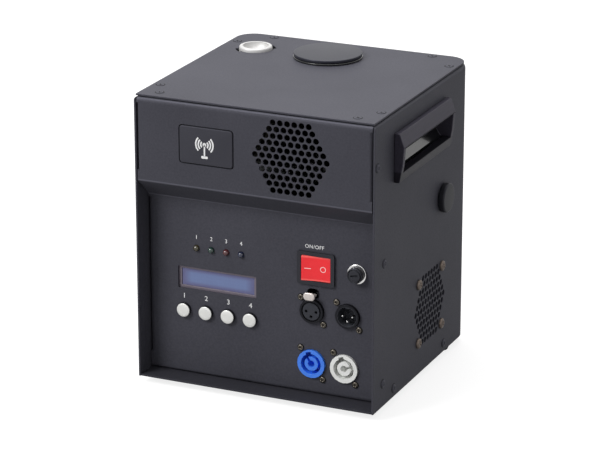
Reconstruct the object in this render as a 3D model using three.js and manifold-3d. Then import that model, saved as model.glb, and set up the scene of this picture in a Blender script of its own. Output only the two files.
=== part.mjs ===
// A cold spark machine: a bent sheet case with a recessed control panel, which holds a granule hopper,
// a feed screw, a blower, a heated chamber and the nozzle that throws the sparks up.
// Millimetres, X to the right, Y to the back, Z up, ground at 0.
import * as THREE from "three";
import { mergeVertices } from "three/addons/utils/BufferGeometryUtils.js";
import Module from "manifold-3d";

const wasm = await Module();
wasm.setup();

// Case
const BODY_WIDTH = 204;
const BODY_DEPTH = 203;
const TOP_HEIGHT = 242.2;
const FOOT_HEIGHT = 6.3;
const SPREAD = BODY_WIDTH / 204;
const REACH = BODY_DEPTH / 203;
const RISE = TOP_HEIGHT / 242.2;
const SHEET = 1.5;
const BEND_RADIUS = 1.6;
const REAR_CORNER_RADIUS = 17;
const TOP_FLANGE = 14;
const PLATE_INSET = 1.2;
const WRAP_DROP = 0.3;
const RECESS_DEPTH = 18;
const HOOD_BOTTOM = TOP_HEIGHT - 70.2;
const CHAMFER_DROP = 16;
const HOOD_FLANGE = 13;
const HOOD_FLANGE_BOTTOM = TOP_HEIGHT - 61.7;
const PANEL_FLANGE = 12;
const PANEL_FLANGE_BOTTOM = 22;
const PANEL_SIDE_GAP = 0.8;
const TRAY_FLANGE = 14;

// Clearances
const SEAT_GAP = 0.2;
const FIT_GAP = 0.3;
const EDGE_GAP = 0.6;

// Vents of round holes in a hexagon
const VENT_PITCH = 6.02;
const VENT_ROW = 5.44;
const VENT_HOLE_RADIUS = 2.45;
const VENT_SIDE_COUNT = 6;
const VENT_FACETS = 6;
const HOOD_VENT = [32, TOP_HEIGHT - 36.1];
const FAN_CENTRE = [16, 58.2];

// Top: hopper, lid and nozzle
const TOP_ROW_Y = BODY_DEPTH / 2 - 44.5;
const HOPPER_X = -5.9;
const NOZZLE_X = 31.5 - BODY_WIDTH / 2;
const NECK_RADIUS = 24.5;
const HOPPER_WALL = 2;
const HOPPER_RIM_RADIUS = 28.7;
const HOPPER_RIM = 2.2;
const HOPPER_CONE_TOP = 182 * RISE;
const HOPPER_CONE_BOTTOM = 158 * RISE;
const HOPPER_OUTLET_BORE = 6;
const HOPPER_OUTLET_WALL = 3.5;
const LID_RADIUS = 28;
const LID_THICKNESS = 3.8;
const LID_PLUG = 9;
const LID_LIFT = 30;
const NOZZLE_RADIUS = 13.85;
const NOZZLE_WALL = 1.3;
const NOZZLE_PROUD = 1.6;
const NOZZLE_BORE = 4.5;
const NOZZLE_BOWL = 7;
const NOZZLE_LENGTH = 16;
const NOZZLE_SLOT_RADIUS = 16.6;
const NOZZLE_SLOT_ANGLE = 40;
const NOZZLE_SLOT_SPAN = 38;

// Feed, chamber and blower
const FEED_Z = 135 * RISE;
const FEED_RADIUS = 10;
const FEED_BORE = 7.2;
const COLLAR_HEIGHT = 16.5;
const COLLAR_BORE = 6.5;
const CHAMBER_RADIUS = 9;
const CHAMBER_BORE = 6.5;
const SLEEVE_RADIUS = 17.5;
const SLEEVE_MARGIN = 4;
const AUGER_SHAFT = 2.2;
const AUGER_PITCH = 16;
const MOTOR_SIDE = 42;
const MOTOR_LENGTH = 38;
const MOTOR_PILOT = 11;
const BLOWER_DEPTH = 30;
const BLOWER_WALL = 1.8;
const BLOWER_RADIUS = 34;
const BLOWER_SHRINK = 7;
const BLOWER_DUCT = 27;
const BLOWER_Z = 60;
const BLOWER_INLET = 17;
const IMPELLER_RADIUS = 24;
const IMPELLER_BLADES = 10;
const BLOWER_MOTOR_RADIUS = 14;
const FRAME_PLATE_Y = BODY_DEPTH / 2 - 15.5;
const FRAME_PLATE = 1.5;

// Card reader, display, keys and lamps, as centres across and up
const READER_CENTRE = [-39.8, TOP_HEIGHT - 35.5];
const READER_SIZE = [46.6, 31.1];
const READER_CORNER = 3;
const READER_PROUD = 0.5;
const READER_LIP = 3;
const DISPLAY_CENTRE = [-40.2 * SPREAD, 89.2 * RISE];
const DISPLAY_OPENING = [68.5, 18.5];
const DISPLAY_GLASS = [63.4, 14.2];
const DISPLAY_BEZEL = [71.2, 25.2];
const DISPLAY_DROP = 0.4;
const BOARD_THICKNESS = 1.6;
const BOARD_DROP = 9.5;
const KEY_ROW = [-40 * SPREAD, 62.1 * RISE];
const KEY_PITCH = 19.4;
const KEY_RADIUS = 5.7;
const KEY_PROUD = 3.5;
const KEY_TRAVEL = 0.8;
const KEY_FLANGE = 7;
const LAMP_ROW = [-38.3 * SPREAD, 115.4 * RISE];
const LAMP_PITCH = 13;
const LAMP_RADIUS = 2.5;

// Power switch and fuse
const SWITCH_CENTRE = [BODY_WIDTH / 2 - 56.2, 113.2 * RISE];
const SWITCH_BEZEL = [31.7, 27];
const SWITCH_BODY = [28.4, 22.6];
const SWITCH_POCKET = [25.2, 20.8];
const SWITCH_PROUD = 1.8;
const SWITCH_DEPTH = 22;
const ROCKER_TILT = 7;
const ROCKER_HALF = 12;
const FUSE_CENTRE = [BODY_WIDTH / 2 - 21.6, 113.8 * RISE];
const FUSE_RING_RADIUS = 8;
const FUSE_CAP_RADIUS = 6.5;
const FUSE_CAP_PROUD = 6.3;
const FUSE_SLOT = [8.2, 1.3];
const FUSE_BARREL_RADIUS = 5.8;
const FUSE_DEPTH = 34;

// Signal and power sockets
const SIGNAL_OUT_CENTRE = [BODY_WIDTH / 2 - 59.6, 77.6 * RISE];
const SIGNAL_IN_CENTRE = [BODY_WIDTH / 2 - 29.2, 77.7 * RISE];
const SIGNAL_RADIUS = 10;
const SIGNAL_PROUD = 2.6;
const SIGNAL_BORE = 8.1;
const SOCKET_FLANGE = [26, 31];
const CONTACT_CIRCLE = 4.2;
const CONTACT_RADIUS = 1.2;
const LATCH_SIZE = [9.6, 6.4];
const LATCH_LEG = [6.6, 1.6];
const LATCH_RISE = 13.8;
const LATCH_PROUD = 7.4;
const LATCH_TRAVEL = 1;
const LATCH_THICKNESS = 1.4;
const POWER_IN_CENTRE = [BODY_WIDTH / 2 - 60, 33.3 * RISE];
const POWER_OUT_CENTRE = [BODY_WIDTH / 2 - 32, 33.4 * RISE];
const POWER_RADIUS = 11.7;
const POWER_BORE = 8.6;
const POWER_CORE_RADIUS = 5.8;
const POWER_CORE_BORE = 2.9;
const POWER_PROUD = 2;
const SOCKET_DEPTH = 24;

// Sides: pocket handle, knob and fan
const HANDLE_SIZE = [109 * REACH, 39.5];
const HANDLE_CENTRE = [BODY_DEPTH / 2 - 56.5 - HANDLE_SIZE[0] / 2, TOP_HEIGHT - 37.4];
const HANDLE_EDGE = 4.8;
const HANDLE_RIDGE = 8.5;
const HANDLE_RIDGE_Z = TOP_HEIGHT - 28.7;
const HANDLE_POCKET = 14;
const HANDLE_WALL = 1.8;
const HANDLE_BORDER = 4.5;
const HANDLE_LIP_Z = TOP_HEIGHT - 49.5;
const KNOB_CENTRE = [BODY_DEPTH / 2 - 60, 141.5 * RISE];
const KNOB_RADIUS = 12.5;
const KNOB_HEIGHT = 7.8;
const KNOB_STUD = 3;
const FAN_SIDE = 60;
const FAN_DEPTH = 20;
const FAN_SCREW_SPACING = 50;
const FAN_SCREW_RADIUS = 1.9;
const FAN_SCREW_HEAD = 4;
const FAN_BLADES = 7;

// Feet and loose boxes inside
const FOOT_RADIUS = 7.5;
const FOOT_SIDE_INSET = { front: 16, rear: 10 };
const FOOT_END_INSET = 33.8;
const SUPPLY_SIZE = [78, BODY_DEPTH - 107, 38];
const SUPPLY_FRONT = RECESS_DEPTH + SOCKET_DEPTH + 1.5 - BODY_DEPTH / 2;
const SUPPLY_CENTRE = [BODY_WIDTH / 2 - 74, SUPPLY_FRONT + SUPPLY_SIZE[1] / 2];
const CONTROL_BOARD_SIZE = [80, 72];
const CONTROL_BOARD_Y = CONTROL_BOARD_SIZE[0] / 2 + RECESS_DEPTH + PANEL_FLANGE + 5.5 - BODY_DEPTH / 2;
const CONTROL_BOARD_Z = 74;

// Places worked out from the sizes
const HALF_WIDTH = BODY_WIDTH / 2;
const FRONT_Y = -BODY_DEPTH / 2;
const BACK_Y = BODY_DEPTH / 2;
const PANEL_Y = FRONT_Y + RECESS_DEPTH;
const PANEL_HALF = HALF_WIDTH - SHEET - PANEL_SIDE_GAP;
const PLATE_BOTTOM = TOP_HEIGHT - SHEET;
const WRAP_TOP = PLATE_BOTTOM - 0.6;
const WRAP_BOTTOM = FOOT_HEIGHT - WRAP_DROP;
const TRAY_TOP = FOOT_HEIGHT + SHEET;
const FAR = 20;

// Materials
const paint = (color, roughness = 0.6, metalness = 0.2) =>
  new THREE.MeshStandardMaterial({ color, roughness, metalness });
const CASE_PAINT = paint("#4a4b50");
const BLACK_PLASTIC = paint("#1c1d1f", 0.4, 0);
const BRIGHT_STEEL = paint("#c9c9c6", 0.25, 1);
const ZINC = paint("#9a9ca0", 0.4, 0.9);
const NICKEL = paint("#b8ab97", 0.3, 1);
const SILVER_CAP = paint("#d6d6d8", 0.3, 0.7);
const BOARD_GREEN = paint("#1f5b3a", 0.6, 0);
const BLUE_PLASTIC = paint("#2f6bf0", 0.35, 0);
const PALE_PLASTIC = paint("#d9ddd6", 0.35, 0);
const RED_PLASTIC = paint("#e8353a", 0.35, 0);
const DISPLAY_BLUE = paint("#2b57c8", 0.1, 0);
const RUBBER = paint("#161616", 0.9, 0);
const SLEEVE_WHITE = paint("#cfcabd", 0.95, 0);
const HOPPER_GREY = paint("#2a2b2e", 0.45, 0);

const machine = new THREE.Group();

// Places to work in: on each face the first axis runs along it, the second up, the third out of it.
function faceGroup(position, along, up, out) {
  const group = new THREE.Group();
  group.quaternion.setFromRotationMatrix(new THREE.Matrix4().makeBasis(along, up, out));
  group.position.copy(position);
  group.updateMatrixWorld(true);
  machine.add(group);
  return group;
}
const UP = new THREE.Vector3(0, 0, 1);
const RIGHT = new THREE.Vector3(1, 0, 0);
const BACK = new THREE.Vector3(0, 1, 0);
const hoodFace = faceGroup(new THREE.Vector3(0, FRONT_Y, 0), RIGHT, UP, BACK.clone().negate());
const panelFace = faceGroup(new THREE.Vector3(0, PANEL_Y, 0), RIGHT, UP, BACK.clone().negate());
const rightFace = faceGroup(new THREE.Vector3(HALF_WIDTH, 0, 0), BACK, UP, RIGHT);
const leftFace = faceGroup(
  new THREE.Vector3(-HALF_WIDTH, 0, 0),
  BACK.clone().negate(),
  UP,
  RIGHT.clone().negate(),
);

// A closed geometry, moved by the frame's matrix if one is given, as a solid to join and cut.
function solid(geometry, frame = null) {
  const bare = new THREE.BufferGeometry();
  bare.setAttribute("position", geometry.getAttribute("position").clone());
  if (geometry.index) bare.setIndex(geometry.index);
  if (frame) bare.applyMatrix4(frame.matrixWorld);
  const merged = mergeVertices(bare, 1e-4);
  const corners = merged.index.array;
  const triangles = [];
  for (let i = 0; i < corners.length; i += 3) {
    const [a, b, c] = [corners[i], corners[i + 1], corners[i + 2]];
    if (a !== b && b !== c && c !== a) triangles.push(a, b, c);
  }
  const make = (triVerts) =>
    new wasm.Manifold(
      new wasm.Mesh({
        numProp: 3,
        vertProperties: merged.attributes.position.array,
        triVerts: new Uint32Array(triVerts),
      }),
    );
  const made = make(triangles);
  return made.volume() < 0 ? make(triangles.reverse()) : made;
}

const join = (...solids) => solids.reduce((whole, one) => whole.add(one));
const cut = (whole, ...tools) => tools.reduce((rest, tool) => rest.subtract(tool), whole);

// A finished piece as a named mesh in its group, at the position given.
function piece(name, made, material, group = machine, position = [0, 0, 0]) {
  const mesh = made.getMesh();
  const geometry = new THREE.BufferGeometry();
  geometry.setAttribute("position", new THREE.BufferAttribute(mesh.vertProperties, 3));
  geometry.setIndex(new THREE.BufferAttribute(mesh.triVerts, 1));
  geometry.computeVertexNormals();
  const node = new THREE.Mesh(geometry, material);
  node.name = name;
  node.position.set(...position);
  group.add(node);
}

// Outlines
const RIGHT_ANGLE = Math.PI / 2;
const degrees = (angle) => (angle * Math.PI) / 180;

function arc(cx, cy, radius, from, to, steps) {
  return Array.from({ length: steps + 1 }, (_, i) => {
    const angle = from + ((to - from) * i) / steps;
    return new THREE.Vector2(cx + radius * Math.cos(angle), cy + radius * Math.sin(angle));
  });
}

function disc(radius, facets, cx = 0, cy = 0, turn = 0) {
  return new THREE.Shape(arc(cx, cy, radius, turn, turn + 2 * Math.PI, facets).slice(1));
}

function rectangle(width, height, cx = 0, cy = 0, radius = 0, steps = 4) {
  const x = width / 2 - radius;
  const y = height / 2 - radius;
  const corners = [
    [x, y],
    [-x, y],
    [-x, -y],
    [x, -y],
  ];
  return new THREE.Shape(
    corners.flatMap(([dx, dy], i) =>
      radius > 0
        ? arc(cx + dx, cy + dy, radius, i * RIGHT_ANGLE, (i + 1) * RIGHT_ANGLE, steps)
        : [new THREE.Vector2(cx + dx, cy + dy)],
    ),
  );
}

const polygon = (points) => new THREE.Shape(points.map(([x, y]) => new THREE.Vector2(x, y)));

// One or more outlines drawn in the face's own plane, from one depth to another along its out axis.
function slab(shape, low, high) {
  const geometry = new THREE.ExtrudeGeometry(shape, { depth: high - low, bevelEnabled: false });
  return geometry.translate(0, 0, low);
}

// An outline of Y and Z carried along X, and one of X and Z carried along Y.
const ALONG_X = new THREE.Matrix4().makeBasis(BACK, UP, RIGHT);
const ALONG_Y = new THREE.Matrix4().makeBasis(RIGHT, UP, BACK.clone().negate());
const prismX = (shape, low, high) => slab(shape, low, high).applyMatrix4(ALONG_X);
const prismY = (shape, low, high) => slab(shape, -high, -low).applyMatrix4(ALONG_Y);
const box = (x0, x1, y0, y1, z0, z1) =>
  slab(rectangle(x1 - x0, y1 - y0, (x0 + x1) / 2, (y0 + y1) / 2), z0, z1);

// A profile of radius and height turned round the vertical axis, ended on the axis or closed.
function turned(points, facets) {
  const profile = points.map(([r, z]) => new THREE.Vector2(r, z));
  const onAxis = profile[0].x === 0 && profile[profile.length - 1].x === 0;
  if (!onAxis) profile.push(profile[0].clone());
  return new THREE.LatheGeometry(profile, facets).rotateX(RIGHT_ANGLE);
}
const rod = (radius, low, high, facets = 16) => slab(disc(radius, facets), low, high);
const moved = (geometry, x, y, z = 0) => geometry.clone().translate(x, y, z);

// The section of a bent sheet: its middle line with each corner rounded, and half a sheet either side.
function bentSection(corners, steps = 3) {
  const middle = corners.map(([x, y]) => new THREE.Vector2(x, y));
  const radius = BEND_RADIUS + SHEET / 2;
  const line = [];
  const add = (point, direction) => line.push([point, new THREE.Vector2(-direction.y, direction.x)]);
  middle.forEach((point, i) => {
    const before = i > 0 ? point.clone().sub(middle[i - 1]).normalize() : null;
    const after = i < middle.length - 1 ? middle[i + 1].clone().sub(point).normalize() : null;
    if (!before || !after) {
      add(point, after ?? before);
      return;
    }
    const angle = Math.atan2(before.cross(after), before.dot(after));
    const side = Math.sign(angle);
    const start = point.clone().addScaledVector(before, -radius * Math.tan(Math.abs(angle) / 2));
    const centre = start.clone().add(new THREE.Vector2(-before.y, before.x).multiplyScalar(side * radius));
    for (let k = 0; k <= steps; k++) {
      const turn = (angle * k) / steps;
      const spot = start.clone().sub(centre).rotateAround(new THREE.Vector2(), turn).add(centre);
      add(spot, before.clone().rotateAround(new THREE.Vector2(), turn));
    }
  });
  const offset = (by) => line.map(([point, normal]) => point.clone().addScaledVector(normal, by));
  return new THREE.Shape([...offset(SHEET / 2), ...offset(-SHEET / 2).reverse()]);
}

// Centres of a hexagon of holes, and the holes as outlines.
function ventCentres([cx, cy]) {
  const reach = VENT_SIDE_COUNT - 1;
  const centres = [];
  for (let row = -reach; row <= reach; row++) {
    const count = 2 * VENT_SIDE_COUNT - 1 - Math.abs(row);
    for (let i = 0; i < count; i++) {
      centres.push([cx + (i - (count - 1) / 2) * VENT_PITCH, cy + row * VENT_ROW]);
    }
  }
  return centres;
}
const ventHoles = (centre, facets) =>
  ventCentres(centre).map(([x, y]) => disc(VENT_HOLE_RADIUS, facets, x, y, Math.PI / facets));

// Plan of the case, inset from its outer faces, with round rear corners.
function casePlan(inset, frontY = FRONT_Y) {
  const x = HALF_WIDTH - inset;
  const y = BACK_Y - inset;
  const r = REAR_CORNER_RADIUS - inset;
  return new THREE.Shape([
    new THREE.Vector2(x, frontY),
    ...arc(x - r, y - r, r, 0, RIGHT_ANGLE, 6),
    ...arc(-x + r, y - r, r, RIGHT_ANGLE, 2 * RIGHT_ANGLE, 6),
    new THREE.Vector2(-x, frontY),
  ]);
}

// A plan from one height to another whose top edge is rounded by the bend.
function roundedTop(shape, low, high, radius, steps) {
  const geometry = new THREE.ExtrudeGeometry(shape, {
    depth: high - low - 2 * radius,
    bevelThickness: radius,
    bevelSize: radius,
    bevelOffset: -radius,
    bevelSegments: steps,
  });
  return geometry.translate(0, 0, low + radius);
}

// Places on the faces that more than one piece needs
const frameAt = (face, [along, up]) => {
  const group = new THREE.Group();
  group.position.set(along, up, 0);
  face.add(group);
  group.updateMatrixWorld(true);
  return group;
};
const keyCentres = [0, 1, 2, 3].map((i) => [KEY_ROW[0] + (i - 1.5) * KEY_PITCH, KEY_ROW[1]]);
const lampCentres = [0, 1, 2, 3].map((i) => [LAMP_ROW[0] + (i - 1.5) * LAMP_PITCH, LAMP_ROW[1]]);
const fanScrewCentres = [-1, 1].flatMap((a) =>
  [-1, 1].map((b) => [
    FAN_CENTRE[0] + (a * FAN_SCREW_SPACING) / 2,
    FAN_CENTRE[1] + (b * FAN_SCREW_SPACING) / 2,
  ]),
);
const handleSeat = (face) => frameAt(face, [face === rightFace ? HANDLE_CENTRE[0] : -HANDLE_CENTRE[0], 0]);
const HANDLE_BODY = [
  HANDLE_SIZE[0] - 2 * HANDLE_BORDER + 2 * HANDLE_WALL,
  HANDLE_SIZE[1] - 2 * HANDLE_BORDER + 2 * HANDLE_WALL,
];

// Side and back walls in one bent sheet, with a flange turned in under the top plate.
function wrapShell() {
  const front = FRONT_Y - FAR;
  const outer = solid(roundedTop(casePlan(0, front), -FAR, WRAP_TOP, BEND_RADIUS + SHEET, 3));
  const inner = solid(
    roundedTop(casePlan(SHEET, front - FAR), -2 * FAR, WRAP_TOP - SHEET, BEND_RADIUS, 2),
  );
  const mouth = solid(slab(casePlan(TOP_FLANGE, front), WRAP_TOP - 3 * SHEET, WRAP_TOP + FAR));
  const reach = solid(box(-BODY_WIDTH, BODY_WIDTH, FRONT_Y, BODY_DEPTH, WRAP_BOTTOM, TOP_HEIGHT));
  const flangeFront = FRONT_Y + TOP_FLANGE + 4;
  const inside = HALF_WIDTH - SHEET;
  const frontNotch = solid(
    box(-inside, inside, FRONT_Y - FAR, flangeFront, WRAP_TOP - 4 * SHEET, TOP_HEIGHT),
  );
  const deep = [-3 * SHEET, SHEET];
  const handleHole = rectangle(HANDLE_BODY[0] + EDGE_GAP, HANDLE_BODY[1] + EDGE_GAP, 0, HANDLE_CENTRE[1]);
  const fanScrewHoles = fanScrewCentres.map(([x, y]) => disc(FAN_SCREW_RADIUS + FIT_GAP, 12, x, y));
  const knobHole = disc(KNOB_STUD + FIT_GAP, 16, ...KNOB_CENTRE);
  return cut(
    outer.subtract(inner).subtract(mouth).intersect(reach),
    frontNotch,
    solid(slab(handleHole, ...deep), handleSeat(rightFace)),
    solid(slab(handleHole, ...deep), handleSeat(leftFace)),
    solid(slab(ventHoles(FAN_CENTRE, VENT_FACETS), ...deep), rightFace),
    solid(slab([...fanScrewHoles, knobHole], ...deep), rightFace),
  );
}

// Flat top plate with round openings for the hopper and the nozzle, the latter with two arc slots.
function topPlate() {
  const plan = casePlan(PLATE_INSET, FRONT_Y + PLATE_INSET);
  const plate = solid(slab(plan, PLATE_BOTTOM, TOP_HEIGHT));
  const through = [PLATE_BOTTOM - SHEET, TOP_HEIGHT + SHEET];
  const half = degrees(NOZZLE_SLOT_SPAN / 2);
  const slots = [0, Math.PI].map((turn) => {
    const middle = degrees(NOZZLE_SLOT_ANGLE) + turn;
    const outside = arc(NOZZLE_X, TOP_ROW_Y, NOZZLE_SLOT_RADIUS, middle - half, middle + half, 6);
    const inside = arc(NOZZLE_X, TOP_ROW_Y, NOZZLE_RADIUS - 1, middle + half, middle - half, 6);
    return solid(slab(new THREE.Shape([...outside, ...inside]), ...through));
  });
  return cut(
    plate,
    solid(slab(disc(NECK_RADIUS + 2 * FIT_GAP, 32, HOPPER_X, TOP_ROW_Y), ...through)),
    solid(slab(disc(NOZZLE_RADIUS + 2 * FIT_GAP, 28, NOZZLE_X, TOP_ROW_Y), ...through)),
    ...slots,
  );
}

// Front in one bent sheet: flange under the top plate, hood, chamfer, control panel and foot flange,
// with flanges turned back at the sides of the hood and of the panel.
function frontPanel() {
  const top = WRAP_TOP - SHEET / 2;
  const bottom = TRAY_TOP + SEAT_GAP + SHEET / 2;
  const hood = FRONT_Y + SHEET / 2;
  const panel = PANEL_Y + SHEET / 2;
  const section = bentSection([
    [FRONT_Y + TOP_FLANGE + 3, top],
    [hood, top],
    [hood, HOOD_BOTTOM],
    [panel, HOOD_BOTTOM - CHAMFER_DROP],
    [panel, bottom],
    [panel + PANEL_FLANGE, bottom],
  ]);
  const sheet = solid(prismX(section, -PANEL_HALF, PANEL_HALF));
  const side = PANEL_HALF - SHEET / 2;
  const flanged = (face, depth) =>
    bentSection([
      [-side, face + depth],
      [-side, face],
      [side, face],
      [side, face + depth],
    ]);
  const hoodTop = WRAP_TOP - 2 * SHEET - BEND_RADIUS;
  const panelTop = HOOD_BOTTOM - CHAMFER_DROP - 2 * SHEET;
  const trims = [
    [hood, HOOD_FLANGE, HOOD_FLANGE_BOTTOM, hoodTop],
    [panel, PANEL_FLANGE, PANEL_FLANGE_BOTTOM, panelTop],
  ].map(([face, depth, low, high]) => ({
    edges: [-1, 1].map((s) => {
      const [x0, x1] = s > 0 ? [side - BEND_RADIUS - SHEET, BODY_WIDTH] : [-BODY_WIDTH, -side + BEND_RADIUS + SHEET];
      return solid(box(x0, x1, face - SHEET, face + SHEET, low, high));
    }),
    flange: solid(slab(flanged(face, depth), low, high)),
  }));
  const trimmed = trims.reduce((whole, trim) => join(cut(whole, ...trim.edges), trim.flange), sheet);
  const deep = [-3 * SHEET, SHEET];
  const openings = [
    rectangle(DISPLAY_OPENING[0], DISPLAY_OPENING[1], ...DISPLAY_CENTRE, 0.8, 2),
    rectangle(SWITCH_BODY[0] + EDGE_GAP, SWITCH_BODY[1] + EDGE_GAP, ...SWITCH_CENTRE),
    disc(FUSE_BARREL_RADIUS + FIT_GAP, 16, ...FUSE_CENTRE),
    disc(SIGNAL_RADIUS + FIT_GAP, 20, ...SIGNAL_OUT_CENTRE),
    disc(SIGNAL_RADIUS + FIT_GAP, 20, ...SIGNAL_IN_CENTRE),
    disc(POWER_RADIUS + FIT_GAP, 20, ...POWER_IN_CENTRE),
    disc(POWER_RADIUS + FIT_GAP, 20, ...POWER_OUT_CENTRE),
    rectangle(
      LATCH_SIZE[0] + 1.4,
      LATCH_SIZE[1] + 2,
      SIGNAL_OUT_CENTRE[0] + 0.8,
      SIGNAL_OUT_CENTRE[1] + LATCH_RISE + 0.6,
      4,
      4,
    ),
    ...keyCentres.map((centre) => disc(KEY_RADIUS + FIT_GAP, 14, ...centre)),
    ...lampCentres.map((centre) => disc(LAMP_RADIUS + FIT_GAP, 10, ...centre)),
  ];
  const readerOpening = rectangle(
    READER_SIZE[0] + 2 * FIT_GAP,
    READER_SIZE[1] + 2 * FIT_GAP,
    ...READER_CENTRE,
    READER_CORNER,
    3,
  );
  return cut(
    trimmed,
    solid(slab([...ventHoles(HOOD_VENT, VENT_FACETS), readerOpening], ...deep), hoodFace),
    solid(slab(openings, ...deep), panelFace),
  );
}

// Bottom tray: its front stays flat as the floor of the recess, and its sides turn up behind the panel.
function baseTray() {
  const inset = SHEET + 0.3;
  const floor = solid(slab(casePlan(inset), FOOT_HEIGHT, TRAY_TOP));
  const side = HALF_WIDTH - inset - SHEET / 2;
  const bottom = FOOT_HEIGHT + SHEET / 2;
  const channel = bentSection([
    [-side, bottom + TRAY_FLANGE],
    [-side, bottom],
    [side, bottom],
    [side, bottom + TRAY_FLANGE],
  ]);
  const back = BACK_Y - inset;
  const bendFrom = PANEL_Y + PANEL_FLANGE + 2 * SHEET;
  const sides = solid(prismY(channel, bendFrom, back - REAR_CORNER_RADIUS));
  const front = solid(box(-HALF_WIDTH, HALF_WIDTH, bendFrom, back - REAR_CORNER_RADIUS, 0, TRAY_TOP));
  const rear = solid(
    box(-side + REAR_CORNER_RADIUS, side - REAR_CORNER_RADIUS, back - SHEET, back, bottom, TRAY_TOP + TRAY_FLANGE),
  );
  return join(cut(floor, front), sides, rear);
}

// Rubber foot with a recess for its screw.
function foot() {
  const top = FOOT_HEIGHT - SEAT_GAP;
  return solid(
    turned(
      [
        [0, 2.4],
        [3.4, 2.4],
        [3.4, 0],
        [FOOT_RADIUS - 1.2, 0],
        [FOOT_RADIUS - 0.6, 0.6],
        [FOOT_RADIUS, top],
        [0, top],
      ],
      12,
    ),
  );
}

// Granule hopper: a rim that rests on the top plate, a straight neck, a cone and a spout.
const HOPPER_RIM_BOTTOM = TOP_HEIGHT + SEAT_GAP;
const HOPPER_RIM_TOP = HOPPER_RIM_BOTTOM + HOPPER_RIM;
const COLLAR_TOP = FEED_Z + COLLAR_HEIGHT;
function hopper() {
  const neck = NECK_RADIUS - HOPPER_WALL;
  const spout = HOPPER_OUTLET_BORE + HOPPER_OUTLET_WALL;
  return solid(
    turned(
      [
        [neck, HOPPER_RIM_TOP],
        [neck, HOPPER_CONE_TOP],
        [HOPPER_OUTLET_BORE, HOPPER_CONE_BOTTOM],
        [HOPPER_OUTLET_BORE, COLLAR_TOP + SEAT_GAP],
        [spout, COLLAR_TOP + SEAT_GAP],
        [spout, HOPPER_CONE_BOTTOM],
        [NECK_RADIUS, HOPPER_CONE_TOP],
        [NECK_RADIUS, HOPPER_RIM_BOTTOM],
        [HOPPER_RIM_RADIUS, HOPPER_RIM_BOTTOM],
        [HOPPER_RIM_RADIUS, HOPPER_RIM_TOP - 0.5],
        [HOPPER_RIM_RADIUS - 0.5, HOPPER_RIM_TOP],
      ],
      22,
    ),
  );
}

// Lid that lifts off: a dished disc with a plug skirt that fits the hopper's neck.
function hopperLid() {
  const under = HOPPER_RIM_TOP + SEAT_GAP;
  const top = under + LID_THICKNESS;
  const plug = NECK_RADIUS - HOPPER_WALL - FIT_GAP;
  return solid(
    turned(
      [
        [0, under + 1],
        [plug - 1.8, under + 1],
        [plug - 1.8, under - LID_PLUG],
        [plug, under - LID_PLUG],
        [plug, under],
        [LID_RADIUS, under],
        [LID_RADIUS, top - 0.8],
        [LID_RADIUS - 0.8, top],
        [LID_RADIUS - 4, top],
        [LID_RADIUS - 6, top - 0.5],
        [0, top - 0.7],
      ],
      24,
    ),
  );
}

// Bright dish of the nozzle, with the bore that the sparks leave through.
const NOZZLE_BOTTOM = TOP_HEIGHT - NOZZLE_LENGTH;
function nozzleCup() {
  const rim = TOP_HEIGHT + NOZZLE_PROUD;
  const bowl = TOP_HEIGHT - NOZZLE_BOWL;
  const inside = NOZZLE_RADIUS - NOZZLE_WALL;
  const dish = arc(0, rim, 1, -RIGHT_ANGLE, 0, 4).map((p) => [
    NOZZLE_BORE + p.x * (inside - NOZZLE_BORE),
    rim + (p.y - rim) * (rim - bowl),
  ]);
  return solid(
    turned(
      [
        [NOZZLE_BORE, NOZZLE_BOTTOM],
        ...dish,
        [inside + 0.3, rim],
        [NOZZLE_RADIUS - 0.3, rim],
        [NOZZLE_RADIUS, rim - 0.3],
        [NOZZLE_RADIUS, bowl + 1],
        [CHAMBER_RADIUS, NOZZLE_BOTTOM + 4],
        [CHAMBER_RADIUS, NOZZLE_BOTTOM],
      ],
      20,
    ),
  );
}

// Heated tube between the feed housing and the nozzle, and the insulation sleeve round it.
const ring = (bore, radius, low, high, facets) =>
  solid(
    turned(
      [
        [bore, low],
        [radius, low],
        [radius, high],
        [bore, high],
      ],
      facets,
    ),
  );

// Screw conveyor housing: a tube along X with collars for the hopper, the chamber and the blower.
const FEED_LEFT = NOZZLE_X - FEED_RADIUS - 2;
const FEED_RIGHT = HOPPER_X + FEED_RADIUS + 16;
const BLOWER_TOP = FEED_Z - COLLAR_HEIGHT;
function feedHousing() {
  const tube = (radius, low, high, facets) => prismX(disc(radius, facets, TOP_ROW_Y, FEED_Z), low, high);
  const collar = (x, low, high, radius) => moved(rod(radius, low, high, 16), x, TOP_ROW_Y);
  const mount = rectangle(MOTOR_SIDE, MOTOR_SIDE, TOP_ROW_Y, FEED_Z);
  const outside = join(
    solid(tube(FEED_RADIUS, FEED_LEFT, FEED_RIGHT, 18)),
    solid(collar(HOPPER_X, FEED_Z, COLLAR_TOP, FEED_RADIUS)),
    solid(collar(NOZZLE_X, BLOWER_TOP, COLLAR_TOP, FEED_RADIUS)),
    solid(prismX(mount, FEED_RIGHT - 3, FEED_RIGHT)),
  );
  return cut(
    outside,
    solid(tube(FEED_BORE, FEED_LEFT + 3, FEED_RIGHT - 5, 14)),
    solid(tube(AUGER_SHAFT + FIT_GAP, FEED_RIGHT - 6, FEED_RIGHT + 1, 12)),
    solid(collar(HOPPER_X, FEED_Z, COLLAR_TOP + 1, HOPPER_OUTLET_BORE)),
    solid(collar(NOZZLE_X, BLOWER_TOP - 1, COLLAR_TOP + 1, COLLAR_BORE)),
  );
}

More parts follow.
